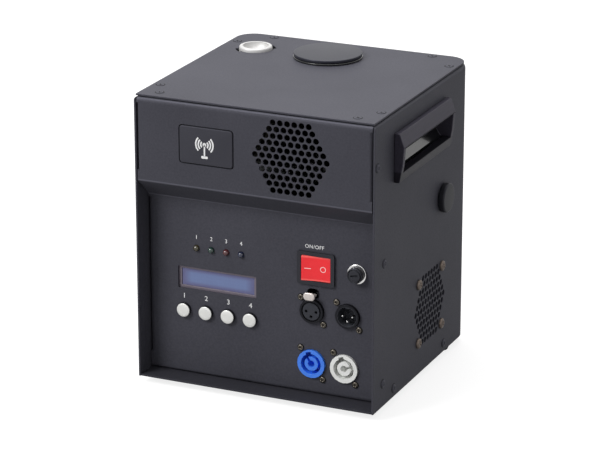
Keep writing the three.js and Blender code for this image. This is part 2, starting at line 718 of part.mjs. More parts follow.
// Feed screw: one flight wound round a shaft, as a section that turns as it runs along X.
function feedAuger() {
  const flightStart = FEED_LEFT + 3 + FIT_GAP + 0.5;
  const flightEnd = FEED_RIGHT - 6;
  const flightRadius = FEED_BORE - FIT_GAP - 0.3;
  const section = [...arc(0, 0, AUGER_SHAFT, degrees(40), degrees(320), 3)];
  section.push(new THREE.Vector2(flightRadius, -0.9), new THREE.Vector2(flightRadius, 0.9));
  const steps = Math.round(((flightEnd - flightStart) / AUGER_PITCH) * 7);
  const positions = [];
  const index = [];
  const count = section.length;
  for (let step = 0; step <= steps; step++) {
    const x = flightStart + ((flightEnd - flightStart) * step) / steps;
    const turn = (2 * Math.PI * (x - flightStart)) / AUGER_PITCH;
    section.forEach((point) => {
      const spot = point.clone().rotateAround(new THREE.Vector2(), turn);
      positions.push(x, TOP_ROW_Y + spot.x, FEED_Z + spot.y);
    });
  }
  for (let step = 0; step < steps; step++) {
    for (let i = 0; i < count; i++) {
      const a = step * count + i;
      const b = step * count + ((i + 1) % count);
      index.push(a, b, b + count, a, b + count, a + count);
    }
  }
  THREE.ShapeUtils.triangulateShape(section, []).forEach(([a, b, c]) => {
    const last = steps * count;
    index.push(a, c, b, last + a, last + b, last + c);
  });
  const flight = new THREE.BufferGeometry();
  flight.setAttribute("position", new THREE.Float32BufferAttribute(positions, 3));
  flight.setIndex(index);
  const shaftEnd = FEED_RIGHT + SEAT_GAP + 8;
  const shaft = prismX(disc(AUGER_SHAFT - 0.05, 12, TOP_ROW_Y, FEED_Z), flightEnd - 1, shaftEnd);
  return join(solid(flight), solid(shaft));
}

function feedMotor() {
  const low = FEED_RIGHT + SEAT_GAP;
  const chamfered = rectangle(MOTOR_SIDE, MOTOR_SIDE, TOP_ROW_Y, FEED_Z, 4, 1);
  const body = solid(prismX(chamfered, low, low + MOTOR_LENGTH));
  const waist = (MOTOR_SIDE - 3) / 2;
  const stack = solid(prismX(disc(MOTOR_SIDE, 4, TOP_ROW_Y, FEED_Z, 0), low + 8, low + MOTOR_LENGTH - 8));
  const ends = [
    solid(prismX(chamfered, low, low + 8)),
    solid(prismX(chamfered, low + MOTOR_LENGTH - 8, low + MOTOR_LENGTH)),
  ];
  const middle = solid(
    prismX(rectangle(2 * waist, 2 * waist, TOP_ROW_Y, FEED_Z, 3, 1), low, low + MOTOR_LENGTH),
  );
  const socket = solid(prismX(disc(AUGER_SHAFT + FIT_GAP, 12, TOP_ROW_Y, FEED_Z), low - 1, low + 9));
  return cut(join(body.intersect(stack).intersect(middle), middle, ...ends), socket);
}

// Blower: a scroll whose duct rises to the feed housing, with a round inlet at the front.
const BLOWER_FRONT = TOP_ROW_Y - BLOWER_DEPTH / 2;
const BLOWER_BACK = TOP_ROW_Y + BLOWER_DEPTH / 2;
const BLOWER_X = NOZZLE_X - BLOWER_DUCT / 2 + BLOWER_RADIUS;
function scroll(inset) {
  const left = BLOWER_X - BLOWER_RADIUS + inset;
  const right = BLOWER_X - BLOWER_RADIUS + BLOWER_DUCT - inset;
  const last = 2 * Math.PI + degrees(100);
  const spiral = Array.from({ length: 17 }, (_, i) => {
    const angle = Math.PI + ((last - Math.PI) * i) / 16;
    const radius = BLOWER_RADIUS - inset - (BLOWER_SHRINK * i) / 16;
    return [BLOWER_X + radius * Math.cos(angle), BLOWER_Z + radius * Math.sin(angle)];
  });
  const top = BLOWER_TOP - SEAT_GAP - inset;
  return polygon([[left, top], ...spiral, [right, top]]);
}
function blowerHousing() {
  const outside = solid(prismY(scroll(0), BLOWER_FRONT, BLOWER_BACK));
  const hollow = solid(prismY(scroll(BLOWER_WALL), BLOWER_FRONT + BLOWER_WALL, BLOWER_BACK - BLOWER_WALL));
  const inlet = solid(prismY(disc(BLOWER_INLET, 18, BLOWER_X, BLOWER_Z), BLOWER_FRONT - 1, TOP_ROW_Y));
  const shaftHole = solid(prismY(disc(3, 12, BLOWER_X, BLOWER_Z), TOP_ROW_Y, BLOWER_BACK + 1));
  const outlet = solid(moved(rod(COLLAR_BORE, BLOWER_TOP - 10, BLOWER_TOP + 1), NOZZLE_X, TOP_ROW_Y));
  return cut(outside, hollow, inlet, shaftHole, outlet);
}

function blowerImpeller() {
  const front = BLOWER_FRONT + BLOWER_WALL + 1.5;
  const back = BLOWER_BACK - BLOWER_WALL - 1.5;
  const around = (shape, low, high) => solid(moved(prismY(shape, low, high), BLOWER_X, 0, BLOWER_Z));
  const plate = around(disc(IMPELLER_RADIUS, 16), back - 1.5, back);
  const hub = around(disc(7, 12), front + 6, back);
  const shaft = around(disc(2, 10), back - 1, BLOWER_BACK + 6);
  const hoop = new THREE.Shape(disc(IMPELLER_RADIUS, 16).getPoints());
  hoop.holes.push(disc(IMPELLER_RADIUS - 3, 16));
  const blades = Array.from({ length: IMPELLER_BLADES }, (_, i) => {
    const blade = slab(rectangle(5.4, 1.1, IMPELLER_RADIUS - 3, 0), 0, back - front - 1);
    blade.translate(-IMPELLER_RADIUS, 0, 0).rotateZ(degrees(25)).translate(IMPELLER_RADIUS - 0.6, 0, 0);
    blade.rotateZ((2 * Math.PI * i) / IMPELLER_BLADES).applyMatrix4(ALONG_Y);
    return solid(blade.translate(BLOWER_X, back - 0.5, BLOWER_Z));
  });
  return join(plate, hub, shaft, around(hoop, front, front + 1.5), ...blades);
}

function blowerMotor() {
  const low = BLOWER_BACK + SEAT_GAP;
  const high = FRAME_PLATE_Y - SEAT_GAP;
  const body = solid(moved(prismY(disc(BLOWER_MOTOR_RADIUS, 24), low, high), BLOWER_X, 0, BLOWER_Z));
  const bearing = solid(moved(prismY(disc(2.3, 12), low - 1, BLOWER_BACK + 7), BLOWER_X, 0, BLOWER_Z));
  return body.subtract(bearing);
}

// Upright plate that carries blower, feed, chamber and hopper, with a foot on the tray and two saddles.
function framePlate() {
  const left = NOZZLE_X - 22;
  const right = FEED_RIGHT + MOTOR_LENGTH;
  const foot = TRAY_TOP + SEAT_GAP + FRAME_PLATE / 2;
  const back = FRAME_PLATE_Y + FRAME_PLATE / 2;
  const section = bentSection([
    [back - 16, foot],
    [back, foot],
    [back, TOP_HEIGHT - 14.2],
  ]);
  const plate = solid(prismX(section, left, right));
  const saddle = TOP_HEIGHT - 46.2;
  const middle = (NOZZLE_X + HOPPER_X) / 2;
  const sleeveSaddle = solid(box(NOZZLE_X - 6, NOZZLE_X + 6, TOP_ROW_Y, back, saddle - 16, saddle));
  const neckSaddle = solid(box(HOPPER_X - 8, HOPPER_X + 8, TOP_ROW_Y, back, saddle, saddle + 16));
  const feedSaddle = solid(box(middle - 8, middle + 8, TOP_ROW_Y, back, FEED_Z - 6, FEED_Z + 6));
  return cut(
    join(plate, sleeveSaddle, neckSaddle, feedSaddle),
    solid(moved(rod(SLEEVE_RADIUS + SEAT_GAP, saddle - 26, saddle + 10, 32), NOZZLE_X, TOP_ROW_Y)),
    solid(moved(rod(NECK_RADIUS + SEAT_GAP, saddle - 6, saddle + 24, 36), HOPPER_X, TOP_ROW_Y)),
    solid(prismX(disc(FEED_RADIUS + SEAT_GAP, 24, TOP_ROW_Y, FEED_Z), middle - 12, middle + 12)),
  );
}

// Pocket handle: a proud flap with a ridge over a finger pocket that runs up behind it.
function handle() {
  const [length, height] = HANDLE_SIZE;
  const low = HANDLE_CENTRE[1] - height / 2;
  const high = HANDLE_CENTRE[1] + height / 2;
  // The section is drawn as out and up, and carried along the handle.
  const alongHandle = new THREE.Matrix4().makeBasis(UP, BACK, RIGHT.clone().negate());
  const carried = (shape, size) =>
    slab(shape, -size / 2, size / 2).applyMatrix4(alongHandle);
  const face = SEAT_GAP;
  const outline = polygon([
    [face, low],
    [HANDLE_EDGE - 0.6, low],
    [HANDLE_EDGE, low + 0.8],
    [HANDLE_RIDGE - 1.2, HANDLE_RIDGE_Z - 14.5],
    [HANDLE_RIDGE - 0.2, HANDLE_RIDGE_Z - 1],
    [HANDLE_RIDGE, HANDLE_RIDGE_Z],
    [HANDLE_RIDGE - 0.4, HANDLE_RIDGE_Z + 1.4],
    [HANDLE_EDGE, high - 0.6],
    [HANDLE_EDGE - 0.6, high],
    [face, high],
  ]);
  const cover = solid(carried(outline, length));
  const bodyHigh = HANDLE_CENTRE[1] + HANDLE_BODY[1] / 2;
  const bodyLow = HANDLE_CENTRE[1] - HANDLE_BODY[1] / 2;
  const floor = -HANDLE_POCKET - HANDLE_WALL;
  const bowl = polygon([
    [1, bodyLow],
    [-2, bodyLow],
    [floor, HANDLE_RIDGE_Z - 4.5],
    [floor, bodyHigh - 3],
    [floor + 3, bodyHigh],
    [1, bodyHigh],
  ]);
  const plan = (size, depth, corner) => {
    const half = size / 2;
    const turn = [arc(-half + corner, depth + corner, corner, 2 * RIGHT_ANGLE, 3 * RIGHT_ANGLE, 5)];
    turn.push(arc(half - corner, depth + corner, corner, 3 * RIGHT_ANGLE, 4 * RIGHT_ANGLE, 5));
    const ends = [new THREE.Vector2(half, 2 * FAR), new THREE.Vector2(-half, 2 * FAR)];
    const shape = new THREE.Shape([...turn.flat(), ...ends]);
    return slab(shape, -high - FAR, -low + FAR).applyMatrix4(ALONG_PLAN);
  };
  const housing = solid(carried(bowl, HANDLE_BODY[0])).intersect(solid(plan(HANDLE_BODY[0], floor, 8)));
  const cavity = polygon([
    [2 * FAR, HANDLE_LIP_Z],
    [-1, HANDLE_LIP_Z],
    [-3, HANDLE_LIP_Z + 1.2],
    [-HANDLE_POCKET, HANDLE_RIDGE_Z - 3],
    [-HANDLE_POCKET, bodyHigh - HANDLE_WALL - 2],
    [-HANDLE_POCKET + 2, bodyHigh - HANDLE_WALL],
    [HANDLE_EDGE - 2, bodyHigh - HANDLE_WALL],
    [HANDLE_RIDGE - 2.2, HANDLE_RIDGE_Z - 0.3],
    [2 * FAR, HANDLE_RIDGE_Z - 0.3],
  ]);
  const inner = HANDLE_BODY[0] - 2 * HANDLE_WALL;
  const hollow = solid(carried(cavity, inner)).intersect(solid(plan(inner, -HANDLE_POCKET, 6.5)));
  return cut(join(cover, housing), hollow);
}
// A plan drawn as along and out of a side face, and carried downwards.
const ALONG_PLAN = new THREE.Matrix4().makeBasis(RIGHT, UP, BACK.clone().negate());

// Knob with a stud, and the bush that it screws into behind the wall.
function sideKnob() {
  const low = SEAT_GAP;
  return solid(
    turned(
      [
        [0, -SHEET - 8],
        [KNOB_STUD, -SHEET - 8],
        [KNOB_STUD, low],
        [KNOB_RADIUS - 0.6, low],
        [KNOB_RADIUS, low + 0.8],
        [KNOB_RADIUS, KNOB_HEIGHT - 1.4],
        [KNOB_RADIUS - 0.5, KNOB_HEIGHT - 0.5],
        [KNOB_RADIUS - 1.6, KNOB_HEIGHT],
        [0, KNOB_HEIGHT],
      ],
      20,
    ),
  );
}

// Axial fan: a square frame with a round bore, a hub plate on four struts, and a bladed rotor.
const FAN_OUT = -SHEET - SEAT_GAP;
const FAN_IN = FAN_OUT - FAN_DEPTH;
function fanFrame() {
  const frame = new THREE.Shape(rectangle(FAN_SIDE, FAN_SIDE, 0, 0, 4, 3).getPoints());
  frame.holes.push(disc(FAN_SIDE / 2 - 1.5, 24));
  const half = FAN_SCREW_SPACING / 2;
  [-half, half].forEach((x) =>
    [-half, half].forEach((y) => frame.holes.push(disc(FAN_SCREW_RADIUS + FIT_GAP, 8, x, y))),
  );
  const strut = (turn) => slab(rectangle(FAN_SIDE - 1, 2.4), FAN_IN, FAN_IN + 2.5).rotateZ(turn);
  return join(
    solid(slab(frame, FAN_IN, FAN_OUT)),
    solid(rod(12.5, FAN_IN, FAN_IN + 2.5, 16)),
    solid(strut(degrees(35))),
    solid(strut(degrees(125))),
  );
}
function fanRotor() {
  const low = FAN_IN + 2.5 + FIT_GAP;
  const high = FAN_OUT - 1.2;
  const hub = solid(rod(12, low, high, 16));
  const limit = solid(rod(FAN_SIDE / 2 - 2.3, low, high, 24));
  const blades = Array.from({ length: FAN_BLADES }, (_, i) => {
    const blade = slab(rectangle(20, 1.3), -11, 11).rotateX(degrees(52));
    blade.translate(20, 0, (low + high) / 2).rotateZ((2 * Math.PI * i) / FAN_BLADES);
    return solid(blade);
  });
  return join(hub, ...blades.map((blade) => blade.intersect(limit)));
}

// Pan head screw through the side wall into the fan's frame.
function fanScrew() {
  return solid(
    turned(
      [
        [0, FAN_OUT - 8],
        [FAN_SCREW_RADIUS, FAN_OUT - 8],
        [FAN_SCREW_RADIUS, SEAT_GAP],
        [FAN_SCREW_HEAD, SEAT_GAP],
        [FAN_SCREW_HEAD, 1.1],
        [FAN_SCREW_HEAD - 1, 2],
        [0, 2.4],
      ],
      10,
    ),
  );
}

// Card reader: a pad set in the hood with a lip behind it, and its board.
function cardReaderPad() {
  const [width, height] = READER_SIZE;
  const lip = rectangle(width + 2 * READER_LIP, height + 2 * READER_LIP, 0, 0, READER_CORNER, 3);
  return join(
    solid(slab(rectangle(width, height, 0, 0, READER_CORNER, 4), -SHEET - 1, READER_PROUD)),
    solid(slab(lip, -SHEET - SEAT_GAP - 2, -SHEET - SEAT_GAP)),
  );
}
const READER_BOARD_OUT = -SHEET - SEAT_GAP - 2 - SEAT_GAP;
function cardReaderBoard() {
  const [width, height] = READER_SIZE;
  const board = rectangle(width + 4, height + 4, 0, 0, 1, 1);
  return join(
    solid(slab(board, READER_BOARD_OUT - BOARD_THICKNESS, READER_BOARD_OUT)),
    solid(slab(rectangle(9, 9, 8, 2), READER_BOARD_OUT - BOARD_THICKNESS - 1.4, READER_BOARD_OUT)),
    solid(slab(rectangle(12, 5, -12, -8), READER_BOARD_OUT - BOARD_THICKNESS - 5, READER_BOARD_OUT)),
  );
}

// Display: a steel bezel behind the panel's opening, a glass in it, on the board that carries the keys.
const BEZEL_OUT = -SHEET - DISPLAY_DROP;
const BOARD_OUT = -BOARD_DROP;
function displayBezel() {
  const frame = new THREE.Shape(rectangle(...DISPLAY_BEZEL, 0, 0, 0.8, 2).getPoints());
  frame.holes.push(rectangle(...DISPLAY_GLASS));
  return solid(slab(frame, BOARD_OUT + SEAT_GAP, BEZEL_OUT));
}
const displayGlass = () =>
  solid(
    slab(
      rectangle(DISPLAY_GLASS[0] - FIT_GAP, DISPLAY_GLASS[1] - FIT_GAP),
      BOARD_OUT + SEAT_GAP,
      BEZEL_OUT - 0.7,
    ),
  );
function displayBoard() {
  const low = BOARD_OUT - BOARD_THICKNESS;
  const top = LAMP_ROW[1] + 7;
  const bottom = KEY_ROW[1] - 8;
  const board = rectangle(DISPLAY_BEZEL[0] + 9, top - bottom, DISPLAY_CENTRE[0], (top + bottom) / 2, 1, 1);
  const keySwitch = keyCentres.map((centre) => solid(slab(rectangle(6, 6, ...centre), low, KEY_STEM - 0.1 - KEY_TRAVEL)));
  const header = rectangle(30, 5, DISPLAY_CENTRE[0], bottom + 5);
  return join(
    solid(slab(board, low, BOARD_OUT)),
    ...keySwitch,
    solid(slab(header, low - 8, BOARD_OUT)),
  );
}

// Key: a round cap with a flange that keeps it behind the panel, and a stem over its switch.
const KEY_SEAT = -SHEET - SEAT_GAP;
const KEY_STEM = KEY_SEAT - 3.6;
function key() {
  return solid(
    turned(
      [
        [0, KEY_STEM],
        [2, KEY_STEM],
        [2, KEY_SEAT - 1.2],
        [KEY_FLANGE, KEY_SEAT - 1.2],
        [KEY_FLANGE, KEY_SEAT],
        [KEY_RADIUS, KEY_SEAT],
        [KEY_RADIUS, KEY_PROUD - 1],
        [KEY_RADIUS - 0.4, KEY_PROUD - 0.3],
        [KEY_RADIUS - 1.2, KEY_PROUD],
        [0, KEY_PROUD],
      ],
      12,
    ),
  );
}

// Lamp: a domed lens with a flange, standing on the board.
function lamp() {
  const dome = arc(0, 0.6, LAMP_RADIUS, 0, RIGHT_ANGLE, 3).map((p) => [Math.max(p.x, 0), p.y]);
  dome[dome.length - 1][0] = 0;
  return solid(
    turned(
      [
        [0, BOARD_OUT + SEAT_GAP],
        [LAMP_RADIUS, BOARD_OUT + SEAT_GAP],
        [LAMP_RADIUS + 0.6, BOARD_OUT + SEAT_GAP + 1],
        [LAMP_RADIUS + 0.6, KEY_SEAT],
        [LAMP_RADIUS, KEY_SEAT],
        ...dome,
      ],
      12,
    ),
  );
}

// Power switch: a housing with a bezel, and a rocker that tips about a vertical pin.
const ROCKER_PIVOT = -1.5;
function switchHousing() {
  const bezel = solid(slab(rectangle(...SWITCH_BEZEL, 0, 0, 1.6, 2), SEAT_GAP, SWITCH_PROUD));
  const body = solid(slab(rectangle(...SWITCH_BODY, 0, 0, 1, 1), -SWITCH_DEPTH, SWITCH_PROUD - 0.5));
  const pocket = solid(slab(rectangle(...SWITCH_POCKET), -7.5, SWITCH_PROUD + 1));
  const pinHole = solid(
    prismY(disc(1.5, 12), -SWITCH_POCKET[1] / 2 - 0.9, SWITCH_POCKET[1] / 2 + 0.9).translate(0, 0, ROCKER_PIVOT),
  );
  const tags = [-1, 1].flatMap((a) =>
    [-1, 1].map((b) => solid(slab(rectangle(0.8, 6.3, a * 8, b * 6), -SWITCH_DEPTH - 7, -SWITCH_DEPTH + 1))),
  );
  return join(cut(join(bezel, body), pocket, pinHole), ...tags);
}
function switchRocker() {
  const high = 2;
  const section = polygon([
    [-ROCKER_HALF, high - ROCKER_PIVOT],
    [-ROCKER_HALF, high - ROCKER_PIVOT - 3],
    [-4, -3.6],
    [4, -3.6],
    [ROCKER_HALF, high - ROCKER_PIVOT - 3],
    [ROCKER_HALF, high - ROCKER_PIVOT],
    [ROCKER_HALF / 2, high - ROCKER_PIVOT - 0.5],
    [0, high - ROCKER_PIVOT - 0.8],
    [-ROCKER_HALF / 2, high - ROCKER_PIVOT - 0.5],
  ]);
  const height = SWITCH_POCKET[1] - 2 * FIT_GAP;
  const paddle = solid(prismY(section, -height / 2, height / 2));
  const pin = solid(prismY(disc(1.2, 12), -height / 2 - 0.8, height / 2 + 0.8));
  return join(paddle, pin);
}

// Fuse holder: a threaded barrel with a bright ring, and a slotted cap that turns in it.
function fuseHolder() {
  const bore = FUSE_BARREL_RADIUS - 1.6;
  return solid(
    turned(
      [
        [0, -FUSE_DEPTH],
        [4, -FUSE_DEPTH],
        [FUSE_BARREL_RADIUS, -FUSE_DEPTH + 8],
        [FUSE_BARREL_RADIUS, SEAT_GAP],
        [FUSE_RING_RADIUS, SEAT_GAP],
        [FUSE_RING_RADIUS, 0.9],
        [FUSE_RING_RADIUS - 0.6, 1.4],
        [bore, 1.4],
        [bore, -FUSE_DEPTH + 10],
        [0, -FUSE_DEPTH + 10],
      ],
      16,
    ),
  );
}
function fuseCap() {
  const stem = FUSE_BARREL_RADIUS - 1.6 - FIT_GAP;
  const cap = solid(
    turned(
      [
        [0, -20],
        [stem, -20],
        [stem, 1.4 + SEAT_GAP],
        [FUSE_CAP_RADIUS, 1.4 + SEAT_GAP],
        [FUSE_CAP_RADIUS - 0.2, FUSE_CAP_PROUD - 1],
        [FUSE_CAP_RADIUS - 1, FUSE_CAP_PROUD],
        [0, FUSE_CAP_PROUD],
      ],
      20,
    ),
  );
  const slot = slab(rectangle(...FUSE_SLOT), FUSE_CAP_PROUD - 1.8, FUSE_CAP_PROUD + 1).rotateZ(degrees(26));
  return cut(cap, solid(slot));
}

// Signal sockets: a barrel through the panel with a flange behind it and an insert inside.
function socketShell(radius, proud) {
  return join(
    solid(rod(radius, -SOCKET_DEPTH, proud, 20)),
    solid(slab(rectangle(...SOCKET_FLANGE, 0, 0, 2, 2), -SHEET - SEAT_GAP - 2, -SHEET - SEAT_GAP)),
  );
}
const contactPlaces = [180, 0, 270].map((angle) => [
  CONTACT_CIRCLE * Math.cos(degrees(angle)),
  CONTACT_CIRCLE * Math.sin(degrees(angle)),
]);
function signalOutSocket() {
  const contacts = contactPlaces.map(([x, y]) => disc(CONTACT_RADIUS + 0.1, 8, x, y));
  const groove = new THREE.Shape(disc(SIGNAL_BORE + 0.3, 16).getPoints());
  groove.holes.push(disc(SIGNAL_BORE - 0.9, 16));
  const slot = rectangle(LATCH_LEG[0] + 2 * FIT_GAP, LATCH_LEG[1] + 2 * FIT_GAP, 0, LATCH_RISE - 0.8);
  return cut(
    socketShell(SIGNAL_RADIUS, SIGNAL_PROUD),
    solid(slab(contacts, -10, SIGNAL_PROUD + 1)),
    solid(slab(groove, SIGNAL_PROUD - 2, SIGNAL_PROUD + 1)),
    solid(slab(slot, -SOCKET_DEPTH, -SHEET)),
  );
}
// Push latch of the socket: a rounded tab on a short leg that runs into the panel.
function signalOutLatch() {
  const tab = rectangle(...LATCH_SIZE, 0, LATCH_RISE, 3, 4);
  const leg = rectangle(...LATCH_LEG, 0, LATCH_RISE - 0.8);
  return join(
    solid(slab(tab, LATCH_PROUD - LATCH_THICKNESS, LATCH_PROUD)),
    solid(slab(leg, -SHEET - SEAT_GAP - 4, LATCH_PROUD - 1)),
  );
}
const SIGNAL_CUP = 12;
function signalInSocket() {
  const key = rectangle(3, 2, 0, SIGNAL_BORE - 0.4);
  const cup = cut(
    socketShell(SIGNAL_RADIUS, SIGNAL_PROUD),
    solid(slab(disc(SIGNAL_BORE, 16), SIGNAL_PROUD - SIGNAL_CUP, SIGNAL_PROUD + 1)),
    solid(slab(contactPlaces.map(([x, y]) => disc(CONTACT_RADIUS + FIT_GAP, 8, x, y)), -SOCKET_DEPTH + 4, 0)),
  );
  return join(cup, solid(slab(key, SIGNAL_PROUD - SIGNAL_CUP - 0.5, SIGNAL_PROUD - 1)));
}
function signalPin() {
  return solid(
    turned(
      [
        [0, -SOCKET_DEPTH + 4 + SEAT_GAP],
        [CONTACT_RADIUS, -SOCKET_DEPTH + 4 + SEAT_GAP],
        [CONTACT_RADIUS, SIGNAL_PROUD - 2],
        [0.6, SIGNAL_PROUD - 1],
        [0, SIGNAL_PROUD - 1],
      ],
      8,
    ),
  );
}

// Locking power socket: a ring, a groove for the plug and a split core with its contacts.
function powerSocket(splitAngle) {
  const cup = solid(slab(disc(POWER_BORE, 16), POWER_PROUD - 14, POWER_PROUD + 1));
  const core = solid(rod(POWER_CORE_RADIUS, POWER_PROUD - 14.5, POWER_PROUD - 0.8, 16));
  const bore = solid(rod(POWER_CORE_BORE, POWER_PROUD - 9, POWER_PROUD + 1, 12));
  const split = slab(rectangle(POWER_CORE_RADIUS + 2, 2.2, (POWER_CORE_RADIUS + 2) / 2, 0), POWER_PROUD - 9, POWER_PROUD + 1);
  const keyway = rectangle(4.4, 2.6, 0, POWER_BORE + 0.2);
  return join(
    cut(
      socketShell(POWER_RADIUS, POWER_PROUD),
      cup,
      solid(slab(keyway, POWER_PROUD - 6, POWER_PROUD + 1).rotateZ(degrees(14))),
    ),
    cut(core, bore, solid(split.rotateZ(degrees(splitAngle)))),
  );
}

// Power supply in a folded case, and the control board on the tray's left flange.
function powerSupply() {
  const [width, depth, height] = SUPPLY_SIZE;
  const [cx, cy] = SUPPLY_CENTRE;
  const low = TRAY_TOP + SEAT_GAP;
  const hood = prismY(
    polygon([
      [cx - width / 2, low],
      [cx + width / 2, low],
      [cx + width / 2, low + height - 4],
      [cx + width / 2 - 4, low + height],
      [cx - width / 2 + 4, low + height],
      [cx - width / 2, low + height - 4],
    ]),
    cy - depth / 2,
    cy + depth / 2,
  );
  const bay = box(cx - width / 2 + 4, cx + width / 2 - 4, cy - depth, cy - depth / 2 + 14, low + 4, low + height + 1);
  const block = box(cx - width / 2 + 6, cx + width / 2 - 6, cy - depth / 2 + 3, cy - depth / 2 + 15, low + 3, low + 16);
  const slots = Array.from({ length: 8 }, (_, i) =>
    rectangle(3, depth - 52, cx + (i - 3.5) * 7, cy + 10),
  );
  return join(
    cut(solid(hood), solid(bay), solid(slab(slots, low + height - 1.2, low + height + 1))),
    solid(block),
  );
}
const WALL_BOARD_OUT = -SHEET - 0.3 - SHEET - SEAT_GAP - 6;
function controlBoard() {
  const low = WALL_BOARD_OUT - BOARD_THICKNESS;
  const board = rectangle(...CONTROL_BOARD_SIZE, 0, 0, 2, 2);
  const tall = (shape, height) => solid(slab(shape, low - height, WALL_BOARD_OUT));
  const [width, height] = CONTROL_BOARD_SIZE;
  const posts = [-1, 1].flatMap((a) =>
    [-1, 1].map((b) =>
      solid(slab(disc(3, 8, a * (width / 2 - 5), b * (height / 2 - 5)), low, -SHEET - SEAT_GAP)),
    ),
  );
  return join(
    solid(slab(board, low, WALL_BOARD_OUT)),
    ...posts,
    tall(rectangle(14, 14, 4, 6), 2),
    tall(rectangle(20, 16, -22, -12), 15),
    tall(rectangle(34, 7, 14, -27), 9),
    tall(disc(6, 12, 26, 10), 16),
    tall(disc(6, 12, 26, -8), 16),
  );
}

// The assembly
piece("wrap_shell", wrapShell(), CASE_PAINT);
piece("top_plate", topPlate(), CASE_PAINT);
piece("front_panel", frontPanel(), CASE_PAINT);
piece("base_tray", baseTray(), CASE_PAINT);
for (const [end, b] of Object.entries({ front: -1, rear: 1 }))
  for (const [side, a] of Object.entries({ left: -1, right: 1 })) {
    const place = [a * (HALF_WIDTH - FOOT_SIDE_INSET[end]), b * (BACK_Y - FOOT_END_INSET), 0];
    piece("foot_" + end + "_" + side, foot(), RUBBER, machine, place);
  }

piece("hopper", hopper(), HOPPER_GREY, machine, [HOPPER_X, TOP_ROW_Y, 0]);
piece("hopper_lid", hopperLid(), BLACK_PLASTIC, machine, [HOPPER_X, TOP_ROW_Y, 0]);
const nozzlePlace = [NOZZLE_X, TOP_ROW_Y, 0];
const chamberLow = COLLAR_TOP + SEAT_GAP;
const chamberHigh = NOZZLE_BOTTOM - SEAT_GAP;
piece("nozzle_cup", nozzleCup(), BRIGHT_STEEL, machine, nozzlePlace);
piece(
  "heating_chamber",
  ring(CHAMBER_BORE, CHAMBER_RADIUS, chamberLow, chamberHigh, 16),
  ZINC,
  machine,
  nozzlePlace,
);
piece(
  "insulation_sleeve",
  ring(CHAMBER_RADIUS + SEAT_GAP, SLEEVE_RADIUS, chamberLow, chamberHigh - SLEEVE_MARGIN, 20),
  SLEEVE_WHITE,
  machine,
  nozzlePlace,
);
piece("feed_housing", feedHousing(), ZINC);
piece("feed_auger", feedAuger(), BRIGHT_STEEL);
piece("feed_motor", feedMotor(), BLACK_PLASTIC);
piece("blower_housing", blowerHousing(), BLACK_PLASTIC);
piece("blower_impeller", blowerImpeller(), BLACK_PLASTIC);
piece("blower_motor", blowerMotor(), ZINC);
piece("frame_plate", framePlate(), ZINC);

piece("handle_right", handle(), BLACK_PLASTIC, handleSeat(rightFace));
piece("handle_left", handle(), BLACK_PLASTIC, handleSeat(leftFace));
const knobPlace = [...KNOB_CENTRE, 0];
piece("side_knob", sideKnob(), BLACK_PLASTIC, rightFace, knobPlace);
piece(
  "knob_bush",
  ring(KNOB_STUD + FIT_GAP, 7, -SHEET - SEAT_GAP - 8, -SHEET - SEAT_GAP, 12),
  ZINC,
  rightFace,
  knobPlace,
);
const fanPlace = [...FAN_CENTRE, 0];
piece("cooling_fan_frame", fanFrame(), BLACK_PLASTIC, rightFace, fanPlace);
piece("cooling_fan_rotor", fanRotor(), BLACK_PLASTIC, rightFace, fanPlace);
fanScrewCentres.forEach((centre, i) =>
  piece("fan_screw_" + (i + 1), fanScrew(), NICKEL, rightFace, [...centre, 0]),
);

const readerPlace = [...READER_CENTRE, 0];
piece("card_reader_pad", cardReaderPad(), CASE_PAINT, hoodFace, readerPlace);
piece("card_reader_board", cardReaderBoard(), BOARD_GREEN, hoodFace, readerPlace);
const displayPlace = [...DISPLAY_CENTRE, 0];
piece("display_bezel", displayBezel(), ZINC, panelFace, displayPlace);
piece("display_glass", displayGlass(), DISPLAY_BLUE, panelFace, displayPlace);
piece("display_board", displayBoard(), BOARD_GREEN, panelFace);
keyCentres.forEach((centre, i) => piece("key_" + (i + 1), key(), SILVER_CAP, panelFace, [...centre, 0]));
const lampColours = { amber: "#5c4a12", green: "#1c4a2c", red: "#5a1d1c", blue: "#1e2f5e" };
Object.entries(lampColours).forEach(([name, colour], i) =>
  piece("lamp_" + name, lamp(), paint(colour, 0.15, 0), panelFace, [...lampCentres[i], 0]),
);

const switchPlace = [...SWITCH_CENTRE, 0];
piece("switch_housing", switchHousing(), BLACK_PLASTIC, panelFace, switchPlace);
const rockerSeat = frameAt(panelFace, SWITCH_CENTRE);
rockerSeat.position.z = ROCKER_PIVOT;
rockerSeat.rotation.y = degrees(ROCKER_TILT);
piece("switch_rocker", switchRocker(), RED_PLASTIC, rockerSeat);
const fusePlace = [...FUSE_CENTRE, 0];
piece("fuse_holder", fuseHolder(), BRIGHT_STEEL, panelFace, fusePlace);
piece("fuse_cap", fuseCap(), BLACK_PLASTIC, panelFace, fusePlace);
const outPlace = [...SIGNAL_OUT_CENTRE, 0];
piece("signal_out_socket", signalOutSocket(), BLACK_PLASTIC, panelFace, outPlace);
piece("signal_out_latch", signalOutLatch(), SILVER_CAP, panelFace, outPlace);
piece("signal_in_socket", signalInSocket(), BLACK_PLASTIC, panelFace, [...SIGNAL_IN_CENTRE, 0]);
contactPlaces.forEach(([x, y], i) =>
  piece("signal_in_pin_" + (i + 1), signalPin(), SILVER_CAP, panelFace, [
    SIGNAL_IN_CENTRE[0] + x,
    SIGNAL_IN_CENTRE[1] + y,
    0,
  ]),
);
piece("power_in_socket", powerSocket(125), BLUE_PLASTIC, panelFace, [...POWER_IN_CENTRE, 0]);
piece("power_out_socket", powerSocket(20), PALE_PLASTIC, panelFace, [...POWER_OUT_CENTRE, 0]);
piece("power_supply", powerSupply(), ZINC);
